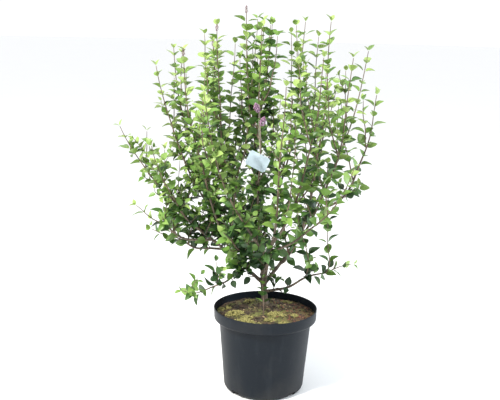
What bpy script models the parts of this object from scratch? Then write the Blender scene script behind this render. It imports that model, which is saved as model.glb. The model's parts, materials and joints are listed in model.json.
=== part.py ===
"""A young many-stemmed flowering shrub in a round plastic growing pot.

The shrub has one short trunk that forks just above the compost into boughs. Each bough carries
one mass of foliage: an upright stem with side shoots, and pairs of leaves on all of them.
Lengths are in metres, +Z is up, and the origin is the middle of the pot's flat underside.
The photograph is taken from -Y, so +X is its right side and azimuths turn from +X to +Y.
"""

import math
from dataclasses import dataclass
from random import Random

import bmesh
import bpy
import numpy as np
from mathutils import Matrix, Vector
from mathutils.bvhtree import BVHTree

GAP = 0.0003  # clearance between pieces that touch

# Pot
POT_HEIGHT = 0.229
RIM_RADIUS = 0.140
COLLAR_HEIGHT = 0.029  # the wider band under the rim
SHOULDER_HEIGHT = 0.008  # where the collar curves in to the body
BODY_TOP_RADIUS = 0.1245
BODY_BASE_RADIUS = 0.109
BASE_CORNER = 0.016  # radius of the rounded bottom edge
WALL = 0.0022
POT_SIDES = 32
NOTCHES = 4  # drainage notches in the bottom edge
NOTCH_WIDTH = 0.034
NOTCH_HEIGHT = 0.014
NOTCH_DEPTH = 0.016
NOTCH_AZIMUTH = 45.0

# Compost
SOIL_EDGE = 0.209  # height where it meets the pot
SOIL_MOUND = 0.222  # height at the trunk
MOUND_RADIUS = 0.024

# Trunk
TRUNK_FOOT = (0.000, 0.046)
TRUNK_TOP = (-0.008, 0.036, 0.304)
TRUNK_RADIUS = 0.0086
TRUNK_TOP_RADIUS = 0.0084
FLARE_RADIUS = 0.0130
FLARE_HEIGHT = 0.013
TRUNK_SIDES = 8
TRUNK_RINGS = (0.0, 0.08, 0.20, 0.45, 0.75, 1.0)  # shares of its height

# Boughs and shoots
BOUGH_SIDES = 5
BOUGH_STEPS = 4
PATH_STEPS = 40
HANDLE = 0.36  # share of the chord that a limb keeps its first and last direction for
STEM_RADIUS = 0.0030  # of a foliage stem where it leaves its bough
TIP_RADIUS = 0.0016
SHOOT_RADIUS = 0.0023  # of a side shoot at its root
STEM_STEPS = 5
SHOOT_STEPS = 3
SHOOT_LENGTHS = (0.80, 1.15)  # least and most, as shares of the length in the table
SHOOT_SPREAD = 0.24  # how far a side shoot leans out, as a share of its length
SHOOT_ROOM = (0.85, 0.97)  # least and most, as shares of the height left under the stem's tip
UPRIGHT = 60.0  # limbs that finish steeper than this hold their side shoots below their tip
SHOOT_ANGLE = 42.0  # degrees from its stem at the root
SHOOT_FINISH = 84.0  # degrees above level at its tip
SHOOT_TURN = 137.5  # degrees round the stem from one side shoot to the next
SHOOT_CLEARANCE = 0.017  # from the shoots of other masses
STEM_CLEARANCE = 0.012  # from its own stem
ROOT_PART = 6  # path steps at its root in which a side shoot may be near other shoots
FORK_PART = 10  # and in which it may be near its own stem
FIRST_SHOOT = 0.04  # share of the stem
LAST_SHOOT = 0.60
TRIES = 8
WOBBLE = 0.004
SEED = 41

# Leaves, larger than life because they are fewer
LEAF_LENGTH = 0.060
ROOT_LEAF = 1.06  # size at the root of a shoot
LEAF_FALL = 0.22  # how much less that is towards its tip
TIP_LEAF = 0.74  # size of the last pair
LEAF_WIDTH = 0.62  # of its length
LEAF_WIDEST = 0.50  # of its length from the root
LEAF_FOLD = 20.0  # degrees that each half turns up
LEAF_THICKNESS = 0.035  # of its length
LEAF_MIDDLE = 0.45  # of its length from the root, where it is thickest
LEAF_DROOP = 0.06  # of its length, at the tip
LEAF_SINK = 0.0006  # of its root behind the middle line of the shoot
LEAF_STEP = 0.076  # between pairs
LEAF_OFFSET = 0.005  # between the two roots of a pair
LEAF_ANGLE = 58.0  # degrees from the stem
TIP_ANGLE = 34.0
TIP_PART = 3  # path steps from the last pair to the tip
STEM_BARE = 0.035  # length of stem below its first pair
SHOOT_BARE = 0.045
BASAL_BARE = 0.030
CELL_MARGIN = 0.0025  # from the halfway surface between two masses
LIMB_MARGIN = 0.008  # from the middle line of a bough
POT_MARGIN = 0.012  # above the rim
LEAF_PLACES = (  # turn in radians and size, tried in this order
    (0.0, 1.0),
    (0.5, 1.0),
    (-0.5, 1.0),
    (0.0, 0.78),
    (1.0, 0.85),
    (-1.0, 0.85),
)

# Flower heads, faded and in bud
HEAD_LENGTH = 0.034
HEAD_RADIUS = 0.0070
HEADS = ("leader", "left_front", "left_inner", "front")

# Basal shoot beside the trunk
BASAL_FOOT = (-0.005, -0.045)
BASAL_TIP = (-0.010, -0.012, 0.312)
BASAL_RADIUS = 0.0014
BASAL_RISE = 84.0  # degrees above level at its foot
BASAL_FINISH = 70.0
BASAL_SEED = 941

# Hanging label, left blank
LABEL_LIMB = "leader_front"  # whose stem it hangs on
LABEL_TIE = 0.790  # height of the string's top
LABEL_WIDTH = 0.056
LABEL_HEIGHT = 0.040
LABEL_THICKNESS = 0.0012
LABEL_HOLE = 0.012  # from the card's middle to where the string enters it
LABEL_ROLL = 24.0
LABEL_YAW = -12.0
LABEL_CLEARANCE = 0.012
STRING_LENGTH = 0.150  # from its top to the card's middle
STRING_RADIUS = 0.0009
STRING_CLEARANCE = 0.006


@dataclass(frozen=True)
class Limb:
    """One bough and the foliage that it carries, as a single curve from fork to tip."""

    name: str
    parent: str
    at: float  # share of the parent bough's length where this one leaves
    azimuth: float  # of the tip, seen from the pot's axis
    reach: float  # of the tip from the pot's axis
    top: float  # height of the tip
    rise: float  # degrees above level at the fork
    finish: float  # degrees above level at the tip
    wood: float  # share of the curve that is bare bough
    radius: float  # at the fork
    shoots: int  # side shoots wanted
    side: float  # their length


LIMBS = (
    Limb("leader", "trunk", 1.00, 180, 0.069, 1.022, 86, 88, 0.33, 0.0066, 3, 0.24),
    Limb("leader_front", "leader", 0.72, 250, 0.086, 0.973, 52, 86, 0.12, 0.0042, 2, 0.20),
    Limb("left_outer", "trunk", 0.74, 184, 0.389, 0.716, 42, 66, 0.42, 0.0056, 2, 0.15),
    Limb("left_limb", "left_outer", 0.78, 187, 0.347, 0.512, -8, 40, 0.34, 0.0036, 2, 0.10),
    Limb("left_lower", "left_outer", 0.61, 172, 0.318, 0.428, -10, 18, 0.30, 0.0034, 2, 0.08),
    Limb("low_left", "left_outer", 0.34, 193, 0.228, 0.285, -52, 24, 0.30, 0.0034, 4, 0.06),
    Limb("low_front_left", "left_outer", 0.92, 203, 0.321, 0.681, 38, 72, 0.14, 0.0036, 2, 0.15),
    Limb("left_front", "left_outer", 0.48, 202, 0.239, 0.915, 62, 86, 0.22, 0.0042, 2, 0.26),
    Limb("left", "leader", 0.08, 169, 0.310, 0.867, 44, 80, 0.36, 0.0055, 2, 0.24),
    Limb("left_back", "left", 0.72, 154, 0.295, 0.920, 52, 84, 0.18, 0.0040, 2, 0.26),
    Limb("left_inner", "left", 0.40, 194, 0.146, 0.976, 66, 87, 0.18, 0.0042, 2, 0.27),
    Limb("back_left", "leader", 0.28, 129, 0.258, 0.930, 48, 84, 0.24, 0.0044, 2, 0.28),
    Limb("front", "trunk", 0.64, 276, 0.268, 0.846, 46, 82, 0.36, 0.0054, 2, 0.24),
    Limb("front_left", "front", 0.58, 236, 0.288, 0.829, 44, 82, 0.18, 0.0040, 2, 0.24),
    Limb("front_right", "front", 0.86, 301, 0.227, 0.910, 50, 84, 0.16, 0.0040, 2, 0.26),
    Limb("low_front_right", "front", 0.72, 317, 0.276, 0.651, 24, 74, 0.22, 0.0036, 2, 0.16),
    Limb("right", "trunk", 0.70, 10, 0.255, 0.918, 54, 82, 0.37, 0.0056, 2, 0.24),
    Limb("right_outer", "right", 0.96, 354, 0.270, 0.811, 10, 84, 0.34, 0.0038, 2, 0.18),
    Limb("right_inner", "right", 0.68, 359, 0.147, 0.992, 70, 86, 0.14, 0.0042, 2, 0.30),
    Limb("right_front", "right", 0.50, 331, 0.224, 0.907, 44, 84, 0.20, 0.0040, 2, 0.24),
    Limb("back_right", "leader", 0.42, 61, 0.188, 0.988, 54, 85, 0.20, 0.0044, 3, 0.30),
    Limb("back", "trunk", 0.38, 97, 0.296, 0.882, 46, 82, 0.34, 0.0054, 2, 0.26),
    Limb("back_outer", "back", 0.80, 52, 0.308, 0.799, 34, 80, 0.22, 0.0040, 2, 0.22),
    Limb("low_back", "back", 0.54, 131, 0.326, 0.612, 22, 70, 0.26, 0.0036, 2, 0.16),
    Limb("low_right", "trunk", 0.44, 352, 0.229, 0.364, 14, 16, 0.42, 0.0042, 2, 0.20),
    Limb("inner_left", "leader", 0.16, 216, 0.143, 0.456, 30, 50, 0.26, 0.0036, 2, 0.09),
    Limb("inner_right", "right", 0.30, 316, 0.114, 0.452, 20, 50, 0.24, 0.0036, 2, 0.09),
)


# Finishes

def finish(name, colour, roughness):
    """A plain shader in the colour of the real surface."""
    material = bpy.data.materials.new(name)
    material.use_nodes = True
    shader = material.node_tree.nodes["Principled BSDF"]
    shader.inputs["Base Color"].default_value = (*colour, 1.0)
    shader.inputs["Roughness"].default_value = roughness
    shader.inputs["Metallic"].default_value = 0.0
    return material


# Meshes

def add_object(name, bm, material):
    """Puts a bmesh in the scene as a named object with faces pointing out."""
    bmesh.ops.recalc_face_normals(bm, faces=bm.faces)
    mesh = bpy.data.meshes.new(name)
    bm.to_mesh(mesh)
    bm.free()
    mesh.materials.append(material)
    item = bpy.data.objects.new(name, mesh)
    bpy.context.scene.collection.objects.link(item)
    return item


def frames_along(points):
    """Two cross directions and the forward one at each point, turning as little as they can."""
    forward = np.gradient(points, axis=0)
    forward /= np.linalg.norm(forward, axis=1)[:, None]
    start = np.array([1.0, 0.0, 0.0]) if abs(forward[0][0]) < 0.8 else np.array([0.0, 1.0, 0.0])
    side = start - forward[0] * start.dot(forward[0])
    sides = []
    for along in forward:
        side = side - along * side.dot(along)
        side = side / np.linalg.norm(side)
        sides.append(side)
    sides = np.array(sides)
    return sides, np.cross(forward, sides), forward


def tube(path, radii, count):
    """A closed tube of flat-sided rings, one for each radius, set evenly along a path."""
    bm = bmesh.new()
    sides, ups, _ = frames_along(path)
    picks = np.linspace(0, len(path) - 1, len(radii)).round().astype(int)
    rings = []
    for point, radius, side, up in zip(path[picks], radii, sides[picks], ups[picks], strict=True):
        angles = [2 * math.pi * k / count for k in range(count)]
        ring = [point + radius * (math.cos(a) * side + math.sin(a) * up) for a in angles]
        rings.append([bm.verts.new(place) for place in ring])
    for lower, upper in zip(rings, rings[1:], strict=False):
        for k in range(count):
            n = (k + 1) % count
            bm.faces.new((lower[k], lower[n], upper[n], upper[k]))
    bm.faces.new(rings[0])
    bm.faces.new(rings[-1])
    return bm


def turned(profile, sides):
    """A closed solid of revolution from (radius, height) pairs that start and end on the axis."""
    bm = bmesh.new()
    verts = [bm.verts.new((radius, 0.0, height)) for radius, height in profile]
    edges = [bm.edges.new(pair) for pair in zip(verts, verts[1:], strict=False)]
    bmesh.ops.spin(
        bm,
        geom=verts + edges,
        cent=(0, 0, 0),
        axis=(0, 0, 1),
        angle=2 * math.pi,
        steps=sides,
        use_merge=True,
    )
    bmesh.ops.remove_doubles(bm, verts=bm.verts, dist=1e-6)
    return bm


def is_closed(mesh):
    """Whether every edge of a mesh is shared by exactly two faces."""
    uses = np.zeros(len(mesh.edges), dtype=int)
    for face in mesh.polygons:
        for loop in face.loop_indices:
            uses[mesh.loops[loop].edge_index] += 1
    return bool((uses == 2).all())


def apply_boolean(item, operation, others):
    """Joins or cuts with a collection of helper objects, then removes the helpers."""
    group = bpy.data.collections.new(item.name + "_helpers")
    bpy.context.scene.collection.children.link(group)
    for other in others:
        for owner in other.users_collection:
            owner.objects.unlink(other)
        group.objects.link(other)
        other.hide_render = True
        other.display_type = "WIRE"
    modifier = item.modifiers.new(operation.lower(), "BOOLEAN")
    modifier.operation = operation
    modifier.operand_type = "COLLECTION"
    modifier.collection = group
    for solver in ("EXACT", "MANIFOLD"):
        modifier.solver = solver
        bpy.context.view_layer.update()
        graph = bpy.context.evaluated_depsgraph_get()
        mesh = bpy.data.meshes.new_from_object(item.evaluated_get(graph), depsgraph=graph)
        if is_closed(mesh):
            break
    item.modifiers.clear()
    item.data = mesh
    for other in others:
        bpy.data.objects.remove(other)
    bpy.data.collections.remove(group)
    keep_largest(item)


def triangulated(mesh):
    """A mesh in triangles, split so that no edge is shared by more than two of them."""
    for method in ("BEAUTY", "EAR_CLIP"):
        bm = bmesh.new()
        bm.from_mesh(mesh)
        bmesh.ops.triangulate(bm, faces=bm.faces, ngon_method=method)
        if all(len(edge.link_faces) == 2 for edge in bm.edges):
            break
    return bm


def keep_largest(item):
    """Drops loose scraps and the skins of sealed hollows."""
    bm = triangulated(item.data)
    left = set(bm.verts)
    islands = []
    while left:
        stack = [left.pop()]
        island = set(stack)
        while stack:
            for edge in stack.pop().link_edges:
                for vert in edge.verts:
                    if vert in left:
                        left.discard(vert)
                        island.add(vert)
                        stack.append(vert)
        islands.append(island)
    islands.sort(key=len)
    for island in islands[:-1]:
        bmesh.ops.delete(bm, geom=list(island), context="VERTS")
    bm.to_mesh(item.data)
    bm.free()


# Pot and compost

def arc(centre, radius, start, stop, steps):
    """Points of a circular arc in a profile, angles in degrees."""
    angles = np.radians(np.linspace(start, stop, steps + 1))
    return [(centre[0] + radius * math.cos(a), centre[1] + radius * math.sin(a)) for a in angles]


def wall_profile(inset):
    """The pot's outline from the bottom edge up to the rim, moved in by a wall's thickness."""
    corner = BASE_CORNER - inset
    base = arc((BODY_BASE_RADIUS - BASE_CORNER, BASE_CORNER), corner, -90, -4, 3)
    body_top = POT_HEIGHT - COLLAR_HEIGHT - SHOULDER_HEIGHT
    collar_base = POT_HEIGHT - COLLAR_HEIGHT
    collar = RIM_RADIUS - 0.0012
    return base + [
        (BODY_TOP_RADIUS - inset, body_top + inset * 0.4),
        (collar - 0.003 - inset, collar_base - 0.003 + inset * 0.8),
        (collar - inset, collar_base + 0.002 + inset * 0.4),
    ]


def build_pot(material):
    """The pot: one thin wall with a wider collar, and notches in the bottom edge."""
    outer = [(0.0, 0.0)] + wall_profile(0.0) + [(RIM_RADIUS, POT_HEIGHT)]
    inner = [(RIM_RADIUS - WALL, POT_HEIGHT)] + wall_profile(WALL)[::-1] + [(0.0, WALL)]
    pot = add_object("pot", turned(outer + inner, POT_SIDES), material)
    cutters = []
    for k in range(NOTCHES):
        turn = math.radians(NOTCH_AZIMUTH + 360.0 * k / NOTCHES)
        bm = bmesh.new()
        bmesh.ops.create_cube(bm, size=1.0)
        bmesh.ops.scale(bm, verts=bm.verts, vec=(2 * NOTCH_DEPTH, NOTCH_WIDTH, 2 * NOTCH_HEIGHT))
        for vert in bm.verts:
            if vert.co.z > 0:
                vert.co.y *= 0.72
        bmesh.ops.translate(bm, verts=bm.verts, vec=(BODY_BASE_RADIUS, 0, 0))
        bmesh.ops.rotate(bm, verts=bm.verts, cent=(0, 0, 0), matrix=Matrix.Rotation(turn, 3, "Z"))
        cutters.append(add_object(f"notch_{k}", bm, material))
    apply_boolean(pot, "DIFFERENCE", cutters)
    pot.data.shade_smooth()
    pot.data.set_sharp_from_angle(angle=math.radians(30))
    return pot


def soil_height(x, y):
    """Height of the compost: flat round the trunk, then falling evenly to the pot's wall."""
    foot = np.array(TRUNK_FOOT)
    out = np.array([x, y]) - foot
    distance = np.linalg.norm(out)
    if distance <= MOUND_RADIUS:
        return SOIL_MOUND
    wall = RIM_RADIUS - WALL - 0.0015
    way = out / distance
    along = foot.dot(way)
    to_wall = -along + math.sqrt(along**2 - foot.dot(foot) + wall**2)
    share = (distance - MOUND_RADIUS) / (to_wall - MOUND_RADIUS)
    return SOIL_MOUND + (SOIL_EDGE - SOIL_MOUND) * share


def build_soil(material):
    """Compost that fills the pot, clear of its wall, mounded round the trunk."""
    side = [(r, h) for r, h in wall_profile(WALL + GAP)]
    bm = bmesh.new()
    angles = [2 * math.pi * k / POT_SIDES for k in range(POT_SIDES)]
    edge = side[-1][0]
    outline = side + [(edge, SOIL_EDGE)]
    rings = []
    for radius, height in outline:
        ring = [bm.verts.new((radius * math.cos(a), radius * math.sin(a), height)) for a in angles]
        rings.append(ring)
    foot = np.array(TRUNK_FOOT)
    mound = []
    for a in angles:
        way = np.array([edge * math.cos(a), edge * math.sin(a)]) - foot
        place = foot + way / np.linalg.norm(way) * MOUND_RADIUS
        mound.append(bm.verts.new((*place, SOIL_MOUND)))
    rings.append(mound)
    for lower, upper in zip(rings, rings[1:], strict=False):
        for k in range(POT_SIDES):
            n = (k + 1) % POT_SIDES
            bm.faces.new((lower[k], lower[n], upper[n], upper[k]))
    bm.faces.new(rings[0])
    bm.faces.new(rings[-1])
    return add_object("compost", bm, material)


# Paths

def direction(azimuth, rise):
    """Unit vector from two angles in degrees."""
    a = math.radians(azimuth)
    r = math.radians(rise)
    return np.array([math.cos(r) * math.cos(a), math.cos(r) * math.sin(a), math.sin(r)])


def bent_path(start, leave, end, arrive, handle=HANDLE):
    """A smooth curve from start to end with given first and last directions."""
    chord = np.linalg.norm(end - start)
    corners = (start, start + leave * chord * handle, end - arrive * chord * handle, end)
    t = np.linspace(0.0, 1.0, PATH_STEPS + 1)[:, None]
    weights = ((1 - t) ** 3, 3 * t * (1 - t) ** 2, 3 * t**2 * (1 - t), t**3)
    return sum(w * c for w, c in zip(weights, corners, strict=True))


def wobbled(path, rng, size):
    """Small sideways waves that vanish at both ends, as growth leaves them."""
    sides, ups, _ = frames_along(path)
    t = np.linspace(0.0, 1.0, len(path))
    envelope = np.sin(math.pi * t) * size
    first, second = rng.uniform(0, 6.28), rng.uniform(0, 6.28)
    across = np.sin(3.0 * math.pi * t + first) * envelope
    along = np.sin(4.0 * math.pi * t + second) * envelope
    return path + across[:, None] * sides + along[:, None] * ups


def cut_path(path, start, stop):
    """The stretch of a path between two shares of its length."""
    steps = np.linalg.norm(np.diff(path, axis=0), axis=1)
    run = np.concatenate([[0.0], np.cumsum(steps)])
    places = np.linspace(start, stop, PATH_STEPS + 1) * run[-1]
    return np.stack([np.interp(places, run, path[:, k]) for k in range(3)], axis=1)


def length_of(path):
    """Length of a path."""
    return float(np.linalg.norm(np.diff(path, axis=0), axis=1).sum())


def taper(start, stop, steps):
    """Radii that fall from start to stop, a little faster at first."""
    t = np.linspace(0.0, 1.0, steps + 1)
    return stop + (start - stop) * (1 - t) ** 1.2


# Growth

@dataclass
class Growth:
    """What one limb grew: its bough's path, and the paths and root radii of its shoots."""

    limb: Limb
    bough: np.ndarray
    shoots: list

    def wood_radius(self, share):
        """The bough's radius at a share of its length."""
        end = min(STEM_RADIUS, self.limb.radius * 0.8)
        return end + (self.limb.radius - end) * (1 - share) ** 1.2


def distance_to(points, path):
    """Distance of each point to the nearest place on a path of straight steps."""
    start, step = path[:-1], np.diff(path, axis=0)
    reach = points[:, None, :] - start[None]
    share = (reach * step[None]).sum(-1) / (step**2).sum(-1)[None]
    share = share.clip(0.0, 1.0)
    off = reach - share[..., None] * step[None]
    return np.sqrt((off**2).sum(-1)).min(axis=1)


def string_top(grown):
    """Where the label's string ends: just in front of the stem that it hangs on."""
    stem = grown[LABEL_LIMB].shoots[0][0]
    place = int(np.abs(stem[:, 2] - LABEL_TIE).argmin())
    return stem[place] - np.array([0.0, STEM_RADIUS + STRING_RADIUS + GAP, 0.0])


def near_label(points, top):
    """Whether any point comes close to the hanging label or its string."""
    centre = top - np.array([0.0, 0.0, STRING_LENGTH])
    half = math.hypot(LABEL_WIDTH, LABEL_HEIGHT) / 2 + LABEL_CLEARANCE
    by_card = np.linalg.norm(points - centre, axis=1) < half
    by_string = distance_to(points, np.stack([centre, top])) < STRING_CLEARANCE
    return bool(by_card.any() or by_string.any())


def grow_boughs(trunk):
    """The boughs, each with the stem that carries it on."""
    grown = {}
    for index, limb in enumerate(LIMBS):
        rng = Random(SEED + index)
        parent = trunk if limb.parent == "trunk" else grown[limb.parent].bough
        start = cut_path(parent, 0.0, limb.at)[-1]
        if limb.at == 1.0:
            start = start + np.array([0, 0, GAP])
        tip = direction(limb.azimuth, 0) * limb.reach + np.array([0, 0, limb.top])
        out = tip - start
        azimuth = math.degrees(math.atan2(out[1], out[0]))
        leave, arrive = direction(azimuth, limb.rise), direction(azimuth, limb.finish)
        path = wobbled(bent_path(start, leave, tip, arrive), rng, WOBBLE)
        gap = GAP / length_of(path)
        bough = cut_path(path, 0.0, limb.wood)
        stem = cut_path(path, limb.wood + gap, 1.0)
        grown[limb.name] = Growth(limb, bough, [(stem, STEM_RADIUS)])
    return grown


def grow_shoots(grown, top):
    """Side shoots on every stem, each kept clear of what other limbs grew and of the label."""
    for index, growth in enumerate(grown.values()):
        rng = Random(1000 + SEED + index)
        others = [g for g in grown.values() if g is not growth]
        turn = rng.uniform(0, 360)
        for k in range(growth.limb.shoots):
            spread = (k + rng.random()) / growth.limb.shoots
            share = FIRST_SHOOT + (LAST_SHOOT - FIRST_SHOOT) * spread
            length = growth.limb.side * rng.uniform(*SHOOT_LENGTHS)
            if growth.limb.finish > UPRIGHT:
                stem = growth.shoots[0][0]
                room = stem[-1][2] - stem[int(share * PATH_STEPS)][2]
                length = min(length, room * rng.uniform(*SHOOT_ROOM))
            shoot = side_shoot(growth, others, top, share, length, turn + SHOOT_TURN * k, rng)
            if shoot is not None:
                growth.shoots.append((shoot, SHOOT_RADIUS))


def side_shoot(growth, others, top, share, length, turn, rng):
    """One side shoot in the first free direction, or None where all are taken."""
    stem = growth.shoots[0][0]
    _, _, forward = frames_along(stem)
    place = int(share * PATH_STEPS)
    start, along = stem[place], forward[place]
    for attempt in range(TRIES):
        azimuth = turn + attempt * 360.0 / TRIES + rng.uniform(-15, 15)
        out = direction(azimuth, 0)
        cross = out - along * out.dot(along)
        cross /= np.linalg.norm(cross)
        angle = math.radians(SHOOT_ANGLE)
        leave = along * math.cos(angle) + cross * math.sin(angle)
        tip = start + out * length * SHOOT_SPREAD + np.array([0, 0, length])
        arrive = direction(azimuth, SHOOT_FINISH)
        path = wobbled(bent_path(start, leave, tip, arrive), rng, WOBBLE / 2)
        if near_label(path[1:], top):
            continue
        if distance_to(path[FORK_PART:], stem).min() < STEM_CLEARANCE:
            continue
        if all(clear_of(path[ROOT_PART:], other) for other in others):
            return path
    return None


def clear_of(points, growth):
    """Whether points keep their distance from all that a limb has grown."""
    if distance_to(points, growth.bough).min() < SHOOT_CLEARANCE:
        return False
    return all(distance_to(points, path).min() > SHOOT_CLEARANCE for path, _ in growth.shoots)


# Leaves

def leaf_points(root, along, face, length):
    """Root, two sides, tip and the two faces' middles of a folded leaf."""
    side = np.cross(face, along)
    widest = root + along * length * LEAF_WIDEST
    lift = face * length * LEAF_WIDTH / 2 * math.sin(math.radians(LEAF_FOLD))
    half = side * length * LEAF_WIDTH / 2 * math.cos(math.radians(LEAF_FOLD))
    middle = root + along * length * LEAF_MIDDLE
    thick = face * length * LEAF_THICKNESS / 2
    tip = root + along * length - face * length * LEAF_DROOP
    return [root, widest + half + lift, tip, widest - half + lift, middle + thick, middle - thick]


def leaf_object(name, points, material):
    """A thin folded leaf of eight faces."""
    bm = bmesh.new()
    verts = [bm.verts.new(p) for p in points]
    for k in range(4):
        n = (k + 1) % 4
        bm.faces.new((verts[k], verts[n], verts[4]))
        bm.faces.new((verts[n], verts[k], verts[5]))
    return add_object(name, bm, material)


def leaves_on(path, rng, own, around, first, solids):
    """Pairs of leaves along a shoot, each pair a quarter turn from the last."""
    made = []
    solids = list(solids)
    sides, ups, forward = frames_along(path)
    total = length_of(path)
    nodes = max(1, round((total - first) / LEAF_STEP))
    turn = rng.uniform(0, math.pi)
    for k in range(nodes + 1):
        share = (first + (total - first) * k / nodes) / total
        place = min(int(share * PATH_STEPS), PATH_STEPS - 1)
        last = k == nodes
        if last:
            place = PATH_STEPS - TIP_PART
        size = TIP_LEAF if last else ROOT_LEAF - LEAF_FALL * share
        length = LEAF_LENGTH * size * rng.uniform(0.9, 1.1)
        angle = TIP_ANGLE if last else LEAF_ANGLE + rng.uniform(-10, 10)
        for half in (0.0, math.pi):
            jitter = rng.uniform(-0.25, 0.25)
            pitch = math.radians(angle + rng.uniform(-8, 8))
            for swing, scale in LEAF_PLACES:
                a = turn + half + jitter + swing
                out = math.cos(a) * sides[place] + math.sin(a) * ups[place]
                along = forward[place] * math.cos(pitch) + out * math.sin(pitch)
                face = forward[place] * math.sin(pitch) - out * math.cos(pitch)
                step = forward[place] * (LEAF_OFFSET if half else 0.0)
                root = path[place] + step - along * LEAF_SINK
                points = leaf_points(root, along, face, length * scale)
                if leaf_fits(np.array(points), own, around, solids):
                    solids.append(leaf_tree(points))
                    made.append(points)
                    break
        turn += math.pi / 2
    return made


def tree_of(mesh):
    """A mesh's faces, in a form that tells which others they cross."""
    return BVHTree.FromPolygons(
        [vert.co.copy() for vert in mesh.vertices], [tuple(face.vertices) for face in mesh.polygons]
    )


def leaf_tree(points):
    """A leaf's faces, in a form that tells which others they cross."""
    faces = [(k, (k + 1) % 4, 4) for k in range(4)]
    return BVHTree.FromPolygons([Vector(p) for p in points], faces)


@dataclass
class Around:
    """What the leaves of one mass keep clear of."""

    shoots: list  # of the other masses
    limbs: list
    string: np.ndarray  # top of the label's string
    label: BVHTree


def leaf_fits(points, own, around, solids):
    """Whether a leaf stays in its mass's space and off every limb, leaf, the pot and the label."""
    outer = np.concatenate([points[1:4], (points[1:4] + points[0]) / 2])
    if outer[:, 2].min() < POT_HEIGHT + POT_MARGIN or near_label(outer, around.string):
        return False
    mine = np.min([distance_to(outer, path) for path in own], axis=0)
    for path in around.shoots:
        if (distance_to(outer, path) < mine + CELL_MARGIN).any():
            return False
    if not all((distance_to(outer, path) > LIMB_MARGIN).all() for path in around.limbs):
        return False
    leaf = leaf_tree(points)
    return not any(leaf.overlap(solid) for solid in [around.label, *solids])


def build_head(path, material):
    """A slim flower head on the tip of a shoot."""
    _, _, forward = frames_along(path)
    way = forward[-1]
    places = np.array([path[-3] + way * HEAD_LENGTH * share for share in (0.0, 0.35, 0.75, 1.0)])
    radii = [HEAD_RADIUS * share for share in (0.25, 1.0, 0.7, 0.12)]
    return add_object("flower_head", tube(places, radii, 4), material)


def build_mass(growth, around, index, material):
    """One mass of foliage: its stem, side shoots, leaves and flower head fused into one body."""
    name = growth.limb.name + "_foliage"
    own = [path for path, _ in growth.shoots]
    rng = Random(5000 + SEED + index)
    pieces = []
    trees = []
    placed = []
    for number, (path, radius) in enumerate(growth.shoots):
        steps = SHOOT_STEPS if number else STEM_STEPS
        twig = tube(path, taper(radius, TIP_RADIUS, steps), 3)
        trees.append(BVHTree.FromBMesh(twig))
        pieces.append(add_object(f"{name}_twig", twig, material))
    for number, path in enumerate(own):
        first = SHOOT_BARE if number else STEM_BARE
        solids = trees[:number] + trees[number + 1 :] + placed
        leaves = leaves_on(path, rng, own, around, first, solids)
        placed += [leaf_tree(points) for points in leaves]
        for points in leaves:
            pieces.append(leaf_object(f"{name}_leaf", points, material))
    if growth.limb.name in HEADS:
        pieces.append(build_head(own[0], material))
    body = pieces[0]
    body.name = name
    apply_boolean(body, "UNION", pieces[1:])


# Trunk and boughs

def trunk_path():
    """The trunk's middle line from its flat foot to the fork."""
    foot = np.array([*TRUNK_FOOT, SOIL_MOUND + GAP])
    top = np.array(TRUNK_TOP)
    return np.linspace(foot, top, PATH_STEPS + 1)


def level_ring(bm, count, height, last=False):
    """Brings the first or last ring of a tube to one height, as a level cut."""
    bm.verts.ensure_lookup_table()
    ring = bm.verts[-count:] if last else bm.verts[:count]
    for vert in ring:
        vert.co.z = height


def trunk_mesh(path, spare=0.0):
    """The trunk with its root flare, wider by a spare clearance where it cuts a bough."""
    shares = TRUNK_RINGS
    points = np.array([path[0] + (path[-1] - path[0]) * s for s in shares])
    height = path[-1][2] - path[0][2]
    radii = []
    for share in shares:
        plain = TRUNK_RADIUS + (TRUNK_TOP_RADIUS - TRUNK_RADIUS) * share
        flare = (FLARE_RADIUS - TRUNK_RADIUS) * math.exp(-((share * height / FLARE_HEIGHT) ** 1.3))
        radii.append(plain + flare + spare)
    bm = tube(points, radii, TRUNK_SIDES)
    level_ring(bm, TRUNK_SIDES, path[0][2])
    level_ring(bm, TRUNK_SIDES, path[-1][2], last=True)
    return bm


def bough_mesh(growth, spare=0.0):
    """A bough as a tapering tube with flat ends."""
    radii = [growth.wood_radius(k / BOUGH_STEPS) + spare for k in range(BOUGH_STEPS + 1)]
    bm = tube(growth.bough, radii, BOUGH_SIDES)
    if growth.limb.at == 1.0:
        level_ring(bm, BOUGH_SIDES, growth.bough[0][2])
    return bm


def build_bough(growth, grown, trunk, material):
    """A bough whose root is cut to sit against its parent, clear of it."""
    name = growth.limb.name + "_bough"
    item = add_object(name, bough_mesh(growth), material)
    if growth.limb.parent == "trunk":
        parent = trunk_mesh(trunk, GAP)
    else:
        parent = bough_mesh(grown[growth.limb.parent], GAP)
    if growth.limb.at < 1.0:
        apply_boolean(item, "DIFFERENCE", [add_object("cutter", parent, material)])
    return item


# Basal shoot and label

def build_basal(around, material):
    """The thin young shoot that stands on the compost in front of the trunk."""
    foot = np.array([*BASAL_FOOT, soil_height(*BASAL_FOOT) + 2 * GAP])
    tip = np.array(BASAL_TIP)
    path = bent_path(foot, direction(90, BASAL_RISE), tip, direction(100, BASAL_FINISH))
    twig = tube(path, [BASAL_RADIUS] * (SHOOT_STEPS + 1), 3)
    body = add_object("basal_shoot", twig, material)
    leaves = leaves_on(path, Random(BASAL_SEED), [path], around, BASAL_BARE, [])
    pieces = [leaf_object("basal_leaf", leaf, material) for leaf in leaves]
    apply_boolean(body, "UNION", pieces)
    lowest = min(vert.co.z for vert in body.data.vertices)
    for vert in body.data.vertices:
        vert.co.z += foot[2] - lowest
    return body


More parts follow.
